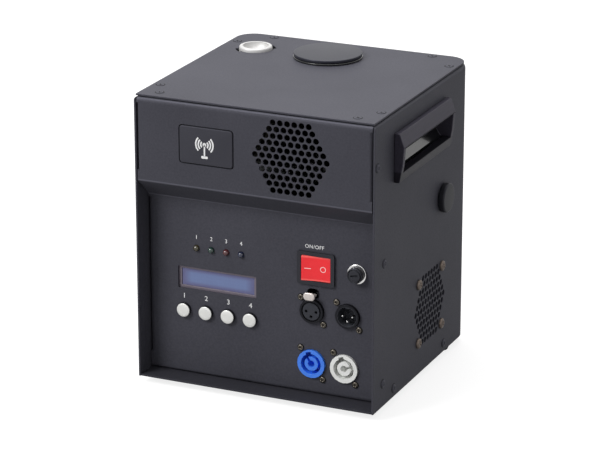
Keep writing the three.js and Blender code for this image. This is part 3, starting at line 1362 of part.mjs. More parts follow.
piece("control_board", controlBoard(), BOARD_GREEN, leftFace, [-CONTROL_BOARD_Y, CONTROL_BOARD_Z, 0]);

export default machine;
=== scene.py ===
"""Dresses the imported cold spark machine: finer surfaces where they show, a finish on every piece, stage and camera.

The file is laid out as an add-on: the sizes and colours are property groups, each piece or group of like pieces has an
operator, and a panel in the sidebar lists them. Run as a script, it registers all and calls the operators in order.
"""

import math
from types import SimpleNamespace

import bmesh
import bpy
import numpy as np
from bpy.props import FloatProperty, FloatVectorProperty, IntProperty, PointerProperty
from bpy.types import NodeSocket, Operator, Panel, PropertyGroup, Scene
from mathutils import Matrix, Vector
from mathutils.geometry import delaunay_2d_cdt


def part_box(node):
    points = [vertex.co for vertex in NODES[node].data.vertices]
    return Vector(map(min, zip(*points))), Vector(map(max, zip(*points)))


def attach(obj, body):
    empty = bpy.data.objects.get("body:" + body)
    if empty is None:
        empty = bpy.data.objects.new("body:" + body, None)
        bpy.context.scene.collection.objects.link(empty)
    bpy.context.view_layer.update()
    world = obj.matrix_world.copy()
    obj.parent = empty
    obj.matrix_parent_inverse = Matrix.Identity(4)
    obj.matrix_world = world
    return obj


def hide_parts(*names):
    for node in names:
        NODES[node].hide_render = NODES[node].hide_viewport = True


bl_info = {
    "name": "Cold spark machine",
    "version": (1, 0, 0),
    "blender": (4, 5, 0),
    "location": "3D View > Sidebar > Spark machine",
    "description": "Builds and finishes the parts of a cold spark machine",
    "category": "Object",
}

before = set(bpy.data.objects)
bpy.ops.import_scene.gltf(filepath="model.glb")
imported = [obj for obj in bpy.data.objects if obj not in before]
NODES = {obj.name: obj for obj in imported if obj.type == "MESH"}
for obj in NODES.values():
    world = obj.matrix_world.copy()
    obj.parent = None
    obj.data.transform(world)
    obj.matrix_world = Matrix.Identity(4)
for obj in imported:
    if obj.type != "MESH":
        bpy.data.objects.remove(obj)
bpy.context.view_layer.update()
MM = 0.001


class Box:
    """A CAD node's box in millimetres: its lowest and highest corner, and its middle."""

    def __init__(self, node):
        self.low, self.high = [np.array(corner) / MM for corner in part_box(node)]
        self.middle = (self.low + self.high) / 2


class Face:
    """A plane to place pieces on: a point of it and its directions along, up and out, as rows of a turn."""

    def __init__(self, origin, along, up, out):
        self.origin = np.array(origin, float)
        self.turn = np.array([along, up, out], float)

    def put(self, points, at=(0, 0, 0)):
        """Points in the plane's own directions, moved by at and turned into the machine's frame."""
        return (np.asarray(points, float) + np.array(at, float)) @ self.turn + self.origin

    def grids(self, shapes, *spots, lift=0.0):
        """Each of some shapes on each of some spots of the plane, as grids for a mesh."""
        return [grid(self.put(shape, (*spot, lift))) for spot in spots for shape in shapes]

    def spot(self, node):
        """The place of a CAD node's middle, along and up."""
        return self.turn[:2] @ Box(node).middle

    def seat(self, node):
        """A CAD node's size along, up and out, its spot, and how far out its back and its front lie."""
        box = Box(node)
        back, front = sorted((corner - self.origin) @ self.turn[2] for corner in (box.low, box.high))
        return np.abs(self.turn) @ (box.high - box.low), self.spot(node), back, front


RECESS = 18.0
HOOD_HEIGHT = 70.2
SHEET = 1.5
CASE = Box("wrap_shell")
TOP_Z = Box("top_plate").high[2]
FRONT_Y = CASE.low[1]
HALF_WIDTH = CASE.high[0]

X, Y, Z = (1, 0, 0), (0, 1, 0), (0, 0, 1)
BACK_TO_FRONT = (0, -1, 0)
HOOD = Face((0, FRONT_Y, 0), X, Z, BACK_TO_FRONT)
PANEL = Face((0, FRONT_Y + RECESS, 0), X, Z, BACK_TO_FRONT)
RIGHT = Face((HALF_WIDTH, 0, 0), Y, Z, X)
LEFT = Face((-HALF_WIDTH, 0, 0), BACK_TO_FRONT, Z, (-1, 0, 0))
TOP = Face((0, 0, TOP_Z), X, Y, Z)
GROUND = Face((0, 0, 0), X, Y, Z)


# Sizes and colours that a user would change


def length(name, description, default):
    """A property for a length, given in millimetres and kept in metres."""
    return FloatProperty(
        name=name, description=description, default=default * MM, min=0.0, unit="LENGTH", precision=5
    )


def colour(name, description, default):
    """A property for a colour, given as the eye sees it in hexadecimal and kept as linear light."""
    code = np.array([int(default[i : i + 2], 16) for i in (0, 2, 4)]) / 255
    linear = np.where(code > 0.04045, ((code + 0.055) / 1.055) ** 2.4, code / 12.92)
    return FloatVectorProperty(
        name=name, description=description, default=tuple(linear), size=3, min=0.0, max=1.0, subtype="COLOR"
    )


class SparkSizes(PropertyGroup):
    edge_break: length("Sheet edge", "Bevel along the raw edges of the bent sheets", 0.22)
    case_screw: length("Case screw", "Radius of the painted pan heads in the case", 3.3)
    case_screw_height: length("Case screw height", "How far these heads stand out", 1.3)
    socket_screw: length("Socket screw", "Radius of the pan heads beside the sockets", 2.6)
    socket_screw_height: length("Socket screw height", "How far these heads stand out", 1.5)
    fan_screw_height: length("Fan screw height", "How far the heads of the fan's screws stand out", 2.2)
    print_height: length("Print height", "How far the white print stands off the panel", 0.05)
    numeral: length("Numeral height", "Height of the plain numbers on the panel", 4.2)
    hopper_rim: length("Hopper rim", "How far the hopper's rim stands above the top plate", 1.7)
    lid_height: length("Lid height", "How far the lid's top lies above the top plate", 4.4)
    nozzle_lip: length("Nozzle lip", "How far the nozzle cup stands above the top plate", 2.7)
    knob_height: length("Knob height", "How far the side knob stands out", 5.6)
    socket_insert: length("Socket insert", "Radius of the grey insert of the signal out socket", 7.3)
    # Within this radius the signal in socket's well is painted lighter, a painted light in its shade.
    socket_well: length("Socket well", "Radius of the well of the signal in socket", 8.2)
    facets: IntProperty(name="Facets", description="Facets round a turned piece", default=64, min=16, max=128)


class SparkColours(PropertyGroup):
    case: colour("Case", "Powder coat of the case", "404047")
    plastic: colour("Black plastic", "Lid, handles, knob and other moulded parts", "1d1e21")
    gloss: colour("Gloss black", "Hopper and the handles' pockets", "121314")
    steel: colour("Bright steel", "Nozzle cup, fuse ring and socket pins", "e6e5e4")
    zinc: colour("Zinc", "Plated brackets", "9a9ca0")
    nickel: colour("Nickel", "Screws of the sockets", "615c55")
    # Also the black of the painted shade round and in the screws and behind the card reader's pad.
    bronze: colour("Bronzed steel", "Screws of the fan", "6d625a")
    rubber: colour("Rubber", "Feet", "151516")
    caps: colour("Key caps", "Silvery caps of the keys", "f4f4f1")
    rocker: colour("Rocker", "Red rocker of the power switch", "f02f36")
    power_in: colour("Power in", "Blue socket", "3f86ff")
    power_out: colour("Power out", "Pale socket", "fbfdf8")
    bezel: colour("Bezel", "Frame round the display", "7b737e")
    screen: colour("Screen", "Lit field of the display", "64739a")
    screen_edge: colour("Screen's edge", "Field of the display near its frame", "595a7d")
    board: colour("Boards", "Solder mask of the circuit boards", "1c5a36")
    print_: colour("Print", "White print", "f6f6f6")


# Meshes: a shape is a grid of points, rows by columns


def closed_loop(count):
    """Evenly spaced angles round a full circle, without its end."""
    return np.linspace(0, 2 * np.pi, count, endpoint=False)


def directions(angle):
    """The unit vectors at some angles."""
    return np.stack([np.cos(angle), np.sin(angle)], 1)


def rounded(width, height, corner, steps=6):
    """An outline that gives, for an inset, the rectangle with quarter circles at its corners, drawn in by the inset."""
    quarter = np.linspace(0, np.pi / 2, steps + 1)
    unit = directions((quarter[None, :] + np.arange(4)[:, None] * np.pi / 2).reshape(-1))
    sign = np.repeat(np.array([[1, 1], [-1, 1], [-1, -1], [1, -1]], float), steps + 1, 0)

    def at(inset):
        radius = max(corner - inset, 0.05)
        reach = np.array([width / 2 - inset - radius, height / 2 - inset - radius])
        return sign * reach + radius * unit

    return at


def eased(corners, radius, steps=4):
    """A profile whose inner corners are rounded: near each, the curve (1-t)^2 A + 2t(1-t) B + t^2 C
    runs from the point A one radius before the corner B to the point C one radius after it."""
    points = [np.array(p, float) for p in corners]
    line = [points[0]]
    t = np.linspace(0, 1, steps + 1)[:, None]
    for before, corner, after in zip(points, points[1:], points[2:]):
        back, ahead = before - corner, after - corner
        reach = min(radius, np.linalg.norm(back) / 2.1, np.linalg.norm(ahead) / 2.1)
        a = corner + back / np.linalg.norm(back) * reach
        c = corner + ahead / np.linalg.norm(ahead) * reach
        line.extend((1 - t) ** 2 * a + 2 * t * (1 - t) * corner + t**2 * c)
    line.append(points[-1])
    return np.array(line)


def closed_by_poles(rows):
    """The rows, with the middle point of the first before them and that of the last after them."""
    poles = [np.repeat(row.mean(0)[None], len(row), 0) for row in (rows[0], rows[-1])]
    return np.stack([poles[0], *rows, poles[1]])


def risen(outline, profile):
    """A block on an outline: each inset and height of the profile gives a row, the outline drawn in and lifted."""
    return closed_by_poles([np.column_stack([outline(i), np.full(len(outline(i)), h)]) for i, h in profile])


def flat_ring(inner, outer, start=0, end=2 * np.pi, height=0.05, steps=24):
    """A thin slab between two radii and two angles, its section a rectangle carried along the arc."""
    angle = np.linspace(start, end, steps + 1)
    radius, level = np.array([(inner, 0), (outer, 0), (outer, height), (inner, height)]).T
    rows = [np.outer(np.cos(angle), radius), np.outer(np.sin(angle), radius), np.outer(np.ones(steps + 1), level)]
    return closed_by_poles(np.stack(rows, -1))


def turned(profile, facets):
    """Each radius r and height h of the profile at the angle a gives the point (r cos a, r sin a, h)."""
    radius, height = np.array(profile, float).T
    angle = closed_loop(facets)
    rows = [np.outer(radius, np.cos(angle)), np.outer(radius, np.sin(angle)), np.outer(height, np.ones(facets))]
    return np.stack(rows, -1)


def grid(points, wrap=True):
    """The vertices of a grid of points, and the four corners of each of its quads."""
    rows, columns = points.shape[:2]
    index = np.arange(rows * columns).reshape(rows, columns)
    if wrap:
        index = np.hstack([index, index[:, :1]])
    corners = [index[:-1, :-1], index[:-1, 1:], index[1:, 1:], index[1:, :-1]]
    return points.reshape(-1, 3), np.stack(corners, -1).reshape(-1, 4)


def relief_head(radius, height, relief, shares, facets):
    """A round head on a polar grid: its height is that of a flattened dome, h (0.35 + 0.65 (1 - (r/R)^4)^0.5), less
    a relief, which gives a depth for each x and y as shares of the radius."""
    share, angle = np.array(shares), closed_loop(facets)
    x = np.outer(share, np.cos(angle))
    y = np.outer(share, np.sin(angle))
    dome = height * (0.35 + 0.65 * np.sqrt(np.clip(1 - np.outer(share, np.ones(facets)) ** 4, 0, 1)))
    top = np.stack([x * radius, y * radius, dome - relief(x, y)], -1)
    base = np.stack([x[-1] * radius, y[-1] * radius, np.full(facets, -0.1)], -1)
    middle = np.repeat([[0, 0, -0.1]], facets, 0)
    return np.concatenate([top, base[None], middle[None]])


def groove(across, along, half_width, half_length, blur=0.1):
    """1 in a groove and 0 outside it, with sides that slope over the blur."""
    side = np.clip((half_width - np.abs(across)) / blur + 0.5, 0, 1)
    return side * np.clip((half_length - np.abs(along)) / blur, 0, 1)


def pan_head(radius, height, facets=32, turn=0.4):
    """A head with a cross recess, the deeper of two crossing grooves, turned by an angle."""
    cosine, sine = math.cos(turn), math.sin(turn)

    def cross(x, y):
        u, v = cosine * x + sine * y, cosine * y - sine * x
        return np.maximum(groove(u, v, 0.1, 0.56), groove(v, u, 0.1, 0.56)) * height * 0.6

    return relief_head(radius, height, cross, [0, 0.1, 0.2, 0.3, 0.42, 0.54, 0.66, 0.78, 0.88, 0.95, 1.0], facets)


def vent_centres(centre, pitch=6.02, row_pitch=5.44):
    """Centres of a vent's holes: eleven rows that lose one hole each towards the hexagon's upper and lower side."""
    rows = [(n, 11 - abs(n)) for n in range(-5, 6)]
    return np.concatenate(
        [np.column_stack([(np.arange(k) - (k - 1) / 2) * pitch, np.full(k, n * row_pitch)]) for n, k in rows]
    ) + np.array(centre)


def inside(points, starts, ends):
    """Whether each point is inside a set of closed lines: a ray to the right crosses them an odd number of times."""
    x, y = points[:, :1], points[:, 1:]
    (x0, y0), (x1, y1) = starts.T, ends.T
    spans = (y0[None] > y) != (y1[None] > y)
    rise = np.where(y1 == y0, 1, y1 - y0)
    crossing = x0[None] + (y - y0[None]) * ((x1 - x0) / rise)[None]
    return (spans & (crossing > x)).sum(1) % 2 == 1


def face_places(work, face):
    """The vertices' places in a plane's directions, and for its outer and inner skin which of them lie on it."""
    work.verts.index_update()
    place = (np.array([v.co for v in work.verts]) / MM - face.origin) @ face.turn.T
    return place, [np.abs(place[:, 2] - level) < 0.01 for level in (0, -SHEET)]


def punched(work, face, centres, radius=2.45, facets=20, ease=0.22):
    """Punches the holes of a vent anew, round and with an eased rim: the walls of the coarse holes and the flat skins
    go, and each skin is filled again between its outlines and the new circles."""
    place, skins = face_places(work, face)
    away = np.linalg.norm(place[:, None, :2] - centres[None], axis=2).min(1)
    rim = (away < radius + 0.15) & (place[:, 2] > -SHEET - 0.1)
    doomed = []
    for flat in work.faces:
        index = [v.index for v in flat.verts]
        if rim[index].all() or any(skin[index].all() for skin in skins):
            doomed.append(flat)
    bmesh.ops.delete(work, geom=doomed, context="FACES_ONLY")
    bmesh.ops.delete(work, geom=[e for e in work.edges if not e.link_faces], context="EDGES")
    bmesh.ops.delete(work, geom=[v for v in work.verts if not v.link_faces], context="VERTS")
    place, skins = face_places(work, face)
    old = list(work.verts)
    ring = directions(closed_loop(facets))
    open_edges = [e for e in work.edges if len(e.link_faces) == 1]
    for skin, level in zip(skins, (0, -SHEET)):
        loose = [[v.index for v in e.verts] for e in open_edges if skin[[v.index for v in e.verts]].all()]
        index = sorted({k for pair in loose for k in pair})
        number = {k: n for n, k in enumerate(index)}
        outline = place[index, :2]
        pairs = [[number[k] for k in pair] for pair in loose]
        circles = (centres[:, None] + ring[None] * (radius + ease)).reshape(-1, 2)
        first = len(outline) + np.arange(len(circles)).reshape(-1, facets)
        loops = np.stack([first, np.roll(first, -1, 1)], -1).reshape(-1, 2)
        points = np.concatenate([outline, circles])
        edges = np.concatenate([np.array(pairs), loops])
        found, _, tiles, origins, _, _ = delaunay_2d_cdt([Vector(p) for p in points], edges.tolist(), [], 0, 1e-5)
        found, tiles = np.array(found), np.array(tiles)
        kept = tiles[inside(found[tiles].mean(1), points[edges[:, 0]], points[edges[:, 1]])]
        known = {n: old[index[o[0]]] for n, o in enumerate(origins) if o and o[0] < len(index)}
        flat = face.put(np.column_stack([found, np.full(len(found), level)])) * MM
        corners = [known.get(n) or work.verts.new(flat[n]) for n in range(len(found))]
        for tile in kept:
            work.faces.new([corners[n] for n in tile])
    near, far = ease * 0.3, SHEET - ease
    steps = [(ease, 0), (near, -near), (0, -ease), (0, -far), (near, near - SHEET), (ease, -SHEET)]
    walls = [np.column_stack([ring * (radius + r), np.full(facets, h)]) for r, h in steps]
    for centre in centres:
        rows = [[work.verts.new(p) for p in face.put(row, (*centre, 0)) * MM] for row in walls]
        for low, high in zip(rows, rows[1:]):
            for n in range(facets):
                work.faces.new([low[n - 1], low[n], high[n], high[n - 1]])
    bmesh.ops.remove_doubles(work, verts=work.verts, dist=2e-6)
    bmesh.ops.recalc_face_normals(work, faces=work.faces)


def dress(name, mesh, material, body="case", replaces=(), slot=None, sharp=35):
    """An object for a mesh, with its shading and finish, that moves with a body and stands for some nodes."""
    mesh.shade_smooth()
    mesh.set_sharp_from_angle(angle=math.radians(sharp))
    mesh.materials.clear()
    mesh.materials.append(material)
    made = bpy.data.objects.new(name, mesh)
    bpy.context.scene.collection.objects.link(made)
    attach(made, body)
    if replaces:
        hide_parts(*replaces)
    return made


def piece(name, grids, material, **place):
    """A mesh of several grids of points in millimetres, its doubles merged and its faces turned out, then dressed."""
    vertices, quads, count = [], [], 0
    for points, faces in grids:
        vertices.append(points)
        quads.append(faces + count)
        count += len(points)
    mesh = bpy.data.meshes.new(name)
    mesh.from_pydata(np.concatenate(vertices) * MM, [], np.concatenate(quads))
    work = bmesh.new()
    work.from_mesh(mesh)
    bmesh.ops.remove_doubles(work, verts=work.verts, dist=2e-6)
    bmesh.ops.recalc_face_normals(work, faces=work.faces)
    work.to_mesh(mesh)
    work.free()
    return dress(name, mesh, material, **place)


def finished_copy(node, material, bevel=0.0, segments=2, vent=None, **place):
    """A merged copy of a CAD node's mesh with smooth bends and broken edges, which stands for that node."""
    mesh = NODES[node].data.copy()
    mesh.name = node + "_dressed"
    work = bmesh.new()
    work.from_mesh(mesh)
    bmesh.ops.remove_doubles(work, verts=work.verts, dist=1e-6)
    if vent:
        punched(work, *vent)
    else:
        level = math.radians(0.6)
        bmesh.ops.dissolve_limit(work, angle_limit=level, verts=work.verts, edges=work.edges, delimit={"NORMAL"})
    work.to_mesh(mesh)
    work.free()
    made = dress(mesh.name, mesh, material, replaces=[node], **place)
    if bevel:
        edges = made.modifiers.new("broken edges", "BEVEL")
        edges.width = bevel * MM
        edges.segments = segments
        edges.limit_method = "ANGLE"
        edges.angle_limit = math.radians(50)
        edges.use_clamp_overlap = True
        edges.harden_normals = True
        made.modifiers.new("flat sheets", "WEIGHTED_NORMAL").keep_sharp = True
    return made


def painted(node, material):
    """Gives a finish to a CAD node that is shown as it is."""
    NODES[node].data.materials.clear()
    NODES[node].data.materials.append(material)


# Materials


def both_ways(operation):
    """The methods of an operator: for a value and another, and reflected, for another and a value."""
    return lambda a, b: a.math(operation, a, b), lambda a, b: a.math(operation, b, a)


class Value:
    """A socket that carries a number, with the arithmetic that adds Math nodes."""

    __add__, __radd__ = both_ways("ADD")
    __sub__, __rsub__ = both_ways("SUBTRACT")
    __mul__, __rmul__ = both_ways("MULTIPLY")
    __pow__, __rpow__ = both_ways("POWER")

    def __init__(self, graph, socket):
        self.graph = graph
        self.socket = socket

    def math(self, operation, *inputs):
        """The result of an operation on one or two inputs."""
        return self.graph.value("ShaderNodeMath", {"operation": operation}, dict(enumerate(inputs)))

    def __abs__(self):
        return self.math("ABSOLUTE", self)

    def maximum(self, other):
        return self.math("MAXIMUM", self, other)

    def sine(self):
        return self.math("SINE", self)

    def fraction(self):
        return self.math("FRACT", self)

    def below(self, edge, blur):
        """1 where the number is under the edge, 0 above it, with a soft step as wide as the blur."""
        settings = {"interpolation_type": "SMOOTHSTEP"}
        inputs = {"Value": self, "From Min": edge - blur, "From Max": edge + blur, "To Min": 1.0, "To Max": 0.0}
        return self.graph.value("ShaderNodeMapRange", settings, inputs)


def distance(a, b, middle):
    """The distance of two coordinates from a middle point, (a'^2 + b'^2)^0.5."""
    return ((a - middle[0]) ** 2.0 + (b - middle[1]) ** 2.0) ** 0.5


class Graph:
    """The nodes of a material or a world."""

    def __init__(self, owner):
        owner.use_nodes = True
        self.tree = owner.node_tree

    def node(self, kind, settings, inputs):
        """A node of a type with its settings, then the values or links of its sockets."""
        made = self.tree.nodes.new(kind)
        for key, value in settings.items():
            setattr(made, key, value)
        for key, value in inputs.items():
            self.feed(made.inputs[key], value)
        return made

    def feed(self, socket, value):
        if isinstance(value, Value):
            value = value.socket
        if isinstance(value, NodeSocket):
            self.tree.links.new(value, socket)
        else:
            socket.default_value = value

    def value(self, kind, settings, inputs, output=0):
        return Value(self, self.node(kind, settings, inputs).outputs[output])

    def ray(self, kind):
        """1 for a ray of that kind, 0 for all others."""
        return self.value("ShaderNodeLightPath", {}, {}, f"Is {kind} Ray")


class Finish(Graph):
    """A material with one principled shader, and the nodes that vary it over the surface."""

    def __init__(self, name, **uniform):
        self.material = bpy.data.materials.new(name)
        super().__init__(self.material)
        self.shader = next(n for n in self.tree.nodes if n.type == "BSDF_PRINCIPLED")
        self.set(**uniform)
        self.place = self.node("ShaderNodeTexCoord", {}, {}).outputs["Object"]

    def noise(self, scale, detail=2.0, stretch=None):
        """Noise of the machine's own coordinates, in features per metre, drawn out along an axis by a stretch."""
        place = self.place
        if stretch:
            place = self.node("ShaderNodeMapping", {}, {"Vector": place, "Scale": stretch}).outputs[0]
        return self.value("ShaderNodeTexNoise", {}, {"Vector": place, "Scale": scale, "Detail": detail})

    def axes(self):
        """The three coordinates, in metres, as numbers."""
        split = self.node("ShaderNodeSeparateXYZ", {}, {"Vector": self.place})
        return [Value(self, split.outputs[i]) for i in range(3)]

    def mix(self, share, first, second):
        """A colour that goes from the first to the second by a share."""
        made = self.node("ShaderNodeMix", {"data_type": "RGBA"}, {"Factor": share, 6: first, 7: second})
        return made.outputs[2]

    def tones(self, share, base, dark, light):
        """A base colour that goes from dark times itself to light times itself by a share."""
        return self.mix(share, opaque(base, dark), opaque(base, light))

    def set(self, **inputs):
        """Sets or links the shader's sockets, each named in small letters."""
        for key, value in inputs.items():
            self.feed(self.shader.inputs[key.replace("_", " ").title().replace("Ior", "IOR")], value)

    def surface(self, base_color, roughness, height=None, depth=0.0, strength=1.0):
        """The material, once its colour, its roughness and a bump of some depth are set."""
        self.set(base_color=base_color, roughness=roughness)
        if height:
            bump = self.node("ShaderNodeBump", {}, {"Height": height, "Distance": depth, "Strength": strength})
            self.set(normal=bump.outputs[0])
        return self.material


COOL = (0.85, 0.84, 1.0, 1.0)
GRAIN_DEPTH = 0.00006


def opaque(tone, share=1.0):
    """A tone times a share, at most 1, with nothing shining through."""
    return (*np.minimum(np.multiply(tone, share), 1.0), 1.0)


def powder_coat(name, base, bends=()):
    """Baked powder coat: fine pebbles in the bump, faint clouds in the colour, and a sheen that varies with both. At
    each bend, given as a height, a half width and a share, the coat is painted paler by that share, a painted highlight
    along the bend."""
    made = Finish(name, specular_ior_level=0.27, specular_tint=COOL)
    pebbles, clouds, specks = made.noise(1500.0, 3.0), made.noise(14.0, 3.0), made.noise(620.0)
    coat = made.tones(clouds * 0.45 + specks * 0.55, base, 0.5, 1.5)
    # Painted highlights: a band about each bend's height is painted paler.
    for height, half, paler in bends:
        near = abs(made.axes()[2] - height * MM).below(half * MM, 0.0003)
        coat = made.mix(near, coat, opaque(base, paler))
    return made.surface(coat, 0.52 + 0.12 * pebbles - 0.04 * clouds, pebbles + 0.4 * specks, 0.00012, 0.5)


def moulded(name, base, rough=0.38, grain=0.3, sheen=0.5):
    """Moulded plastic: a soft grain, light rubbed patches and a satin sheen."""
    made = Finish(name, specular_ior_level=sheen, specular_tint=COOL)
    grains, rubbed = made.noise(900.0), made.noise(35.0, 4.0)
    roughness = rough + 0.1 * (grains - 0.5) + 0.08 * (rubbed - 0.5)
    return made.surface(made.tones(rubbed, base, 0.88, 1.12), roughness, grains, GRAIN_DEPTH, grain)


def two_tone(name, base, lighter, middle, radius):
    """Moulded plastic whose base colour is lighter by a share within a radius of a level axis: the grey face of the
    signal out socket, and in the signal in socket's well a painted light in its shade.
    """
    made = Finish(name, specular_ior_level=0.22, specular_tint=COOL)
    x, _, z = made.axes()
    lighter_disc = distance(x, z, middle).below(radius, 0.0002)
    grains = made.noise(900.0)
    return made.surface(made.tones(lighter_disc, base, 0.7, lighter), 0.42 + 0.1 * (grains - 0.5), grains, GRAIN_DEPTH, 0.15)


def streaked(name, base, lip):
    """Moulded plastic with flow streaks along the y axis; below the height of the lip, which faces the lamps, it is
    painted darker, a painted shade.
    """
    made = Finish(name, specular_ior_level=0.22, specular_tint=COOL)
    streaks, grains = made.noise(700.0, 3.0, (1, 0.05, 1)), made.noise(600.0)
    painted_shade_below_lip = made.axes()[2].below(lip, 0.001)
    face = made.mix(painted_shade_below_lip, made.tones(streaks, base, 0.7, 1.3), opaque(base, 0.27))
    return made.surface(face, 0.36 + 0.1 * grains, grains, GRAIN_DEPTH, 0.4)


def gloss_plastic(name, base, rough=0.12):
    """Gloss moulded plastic: a clear skin over a very slight waviness, with hair scratches in the roughness."""
    made = Finish(name, specular_ior_level=0.5, coat_weight=0.5, coat_roughness=0.06)
    waves, scratches = made.noise(60.0, 1.0), made.noise(420.0, 3.0, (1, 0.06, 1))
    return made.surface(made.tones(waves, base, 0.92, 1.08), rough + 0.12 * scratches, waves, 0.0001, 0.2)


def metal(name, base, rough, weight=1.0, spots=0.12, scale=500.0, stretch=None):
    """Metal: streaks along the way it was worked, and dull spots."""
    made = Finish(name, metallic=weight)
    streaks, dull = made.noise(scale, 3.0, stretch), made.noise(90.0, 4.0)
    roughness = rough + 0.16 * (streaks - 0.5) + 0.1 * dull
    return made.surface(made.tones(dull, base, 1.0, 1 - spots), roughness, streaks, 0.00004, 0.35)


def turned_metal(name, base, middle):
    """Metal from the lathe: fine rings of the distance from an upright axis through the middle point."""
    made = Finish(name, metallic=0.45)
    x, y, _ = made.axes()
    rings = (distance(x, y, middle) * 14000.0).sine()
    dull = made.noise(130.0, 4.0)
    return made.surface(made.tones(dull, base, 1.0, 0.9), 0.5 + 0.05 * rings + 0.14 * dull, rings, 0.00003, 0.4)


def lens(name, base):
    """Unlit tinted lens: dark and clear skinned, with cloudy depths."""
    made = Finish(name, specular_ior_level=0.6, coat_weight=0.8, coat_roughness=0.03)
    depth = made.noise(260.0)
    return made.surface(made.tones(depth, base, 0.55, 1.4), 0.12 + 0.06 * depth)


def circuit(name, base):
    """Circuit board: solder mask over a net of tracks, with paler tracks and a satin sheen."""
    made = Finish(name, specular_ior_level=0.5)
    settings = {"feature": "DISTANCE_TO_EDGE"}
    net = made.value("ShaderNodeTexVoronoi", settings, {"Vector": made.place, "Scale": 420.0}, "Distance")
    tracks, dust = net.below(0.06, 0.02), made.noise(120.0, 3.0)
    return made.surface(made.tones(tracks * 0.7, base, 0.85, 1.9), 0.35 + 0.2 * dust, tracks, 0.00005, 0.6)


def woven(name, base):
    """Glass fibre sleeve: two crossing ribs of a plain weave, over the height and round the tube."""
    made = Finish(name)
    x, y, z = made.axes()
    fuzz = made.noise(700.0, 4.0)
    pitch = 2600.0  # radians per metre
    ribs = (z * pitch).sine() * ((x + y) * pitch).sine() * 0.5 + 0.5
    return made.surface(made.tones(ribs * 0.6 + fuzz * 0.4, base, 0.7, 1.0), 0.85 + 0.1 * fuzz, ribs, 0.0003, 0.7)


def rubber(name, base):
    """Rubber: dull, with a dusty bloom and a faint grain."""
    made = Finish(name, specular_ior_level=0.3)
    bloom, grains = made.noise(70.0, 4.0), made.noise(1300.0)
    return made.surface(made.tones(bloom, base, 1.0, 1.8), 0.78 + 0.12 * bloom, grains, 0.00008, 0.5)


SHARED = {}


def shared(colours, name):
    """A finish that several operators use, made the first time that it is asked for."""
    if name not in SHARED:
        make, tone, settings = {
            "black_moulding": (moulded, colours.plastic, {}),
            "gloss_black_moulding": (gloss_plastic, colours.gloss, {}),
            "circuit_board": (circuit, colours.board, {}),
            "foot_rubber": (rubber, colours.rubber, {}),
            "white_print": (moulded, colours.print_, {"rough": 0.55, "grain": 0.1}),
        }[name]
        SHARED[name] = make(name, tone, **settings)
    return SHARED[name]


# Operators: one for each piece or group of like pieces


class SparkOperator:
    """What the operators share: each builds from the sizes in millimetres and the colours of the scene."""

    bl_options = {"REGISTER", "UNDO"}

    def execute(self, context):
        sizes, colours = context.scene.spark_sizes, context.scene.spark_colours
        lengths = {key: getattr(sizes, key) / MM for key in sizes.__annotations__ if key != "facets"}
        tones = {key: np.array(getattr(colours, key)[:]) for key in colours.__annotations__}
        self.build(SimpleNamespace(**lengths, facets=sizes.facets), SimpleNamespace(**tones))
        return {"FINISHED"}


class SPARK_OT_case(SparkOperator, Operator):
    """Finish the bent sheets of the case"""

    bl_idname = "spark_machine.case"
    bl_label = "Case"

    def build(self, sizes, colours):
        hood_top, hood_bottom, chamfer = Box("front_panel").high[2], TOP_Z - HOOD_HEIGHT, 16.2
        # Painted highlights along the front sheet's bends, at the hood's top and foot and at the panel's top.
        bends = [(hood_top - 0.9, 0.45, 2.0), (hood_bottom + 0.2, 0.7, 2.1), (hood_bottom - chamfer, 0.6, 1.9)]
        side_vent, hood_vent = vent_centres((16, 58.2)), vent_centres((32, 206.1))
        coat = powder_coat("case_powder_coat", colours.case)
        sheets = {
            "wrap_shell": (coat, (RIGHT, side_vent)),
            "front_panel": (powder_coat("front_powder_coat", colours.case, bends), (HOOD, hood_vent)),
            "top_plate": (coat, None),
            # Painted shade: the tray's coat is the case's colour painted darker.
            "base_tray": (powder_coat("tray_powder_coat", colours.case * 0.62), None),
        }
        for node, (skin, vent) in sheets.items():
            finished_copy(node, skin, bevel=sizes.edge_break, vent=vent, slot="case_paint", sharp=32)


class SPARK_OT_feet(SparkOperator, Operator):
    """Build the rubber feet"""

    bl_idname = "spark_machine.feet"
    bl_label = "Feet"

    def build(self, sizes, colours):
        for name in ("front_left", "front_right", "rear_left", "rear_right"):
            node = "foot_" + name
            size, spot, _, top = GROUND.seat(node)
            radius, bore, bore_depth = size[0] / 2, 3.4, 2.4
            profile = [(0, bore_depth), (bore, bore_depth), (bore, 0), (radius - 1.6, 0), (radius, top - 1.5),
                       (radius, top), (0, top)]
            foot = turned(eased(profile, 0.7), sizes.facets)
            skin = shared(colours, "foot_rubber")
            piece(node + "_rubber", GROUND.grids([foot], spot), skin, replaces=[node], slot="foot_rubber")


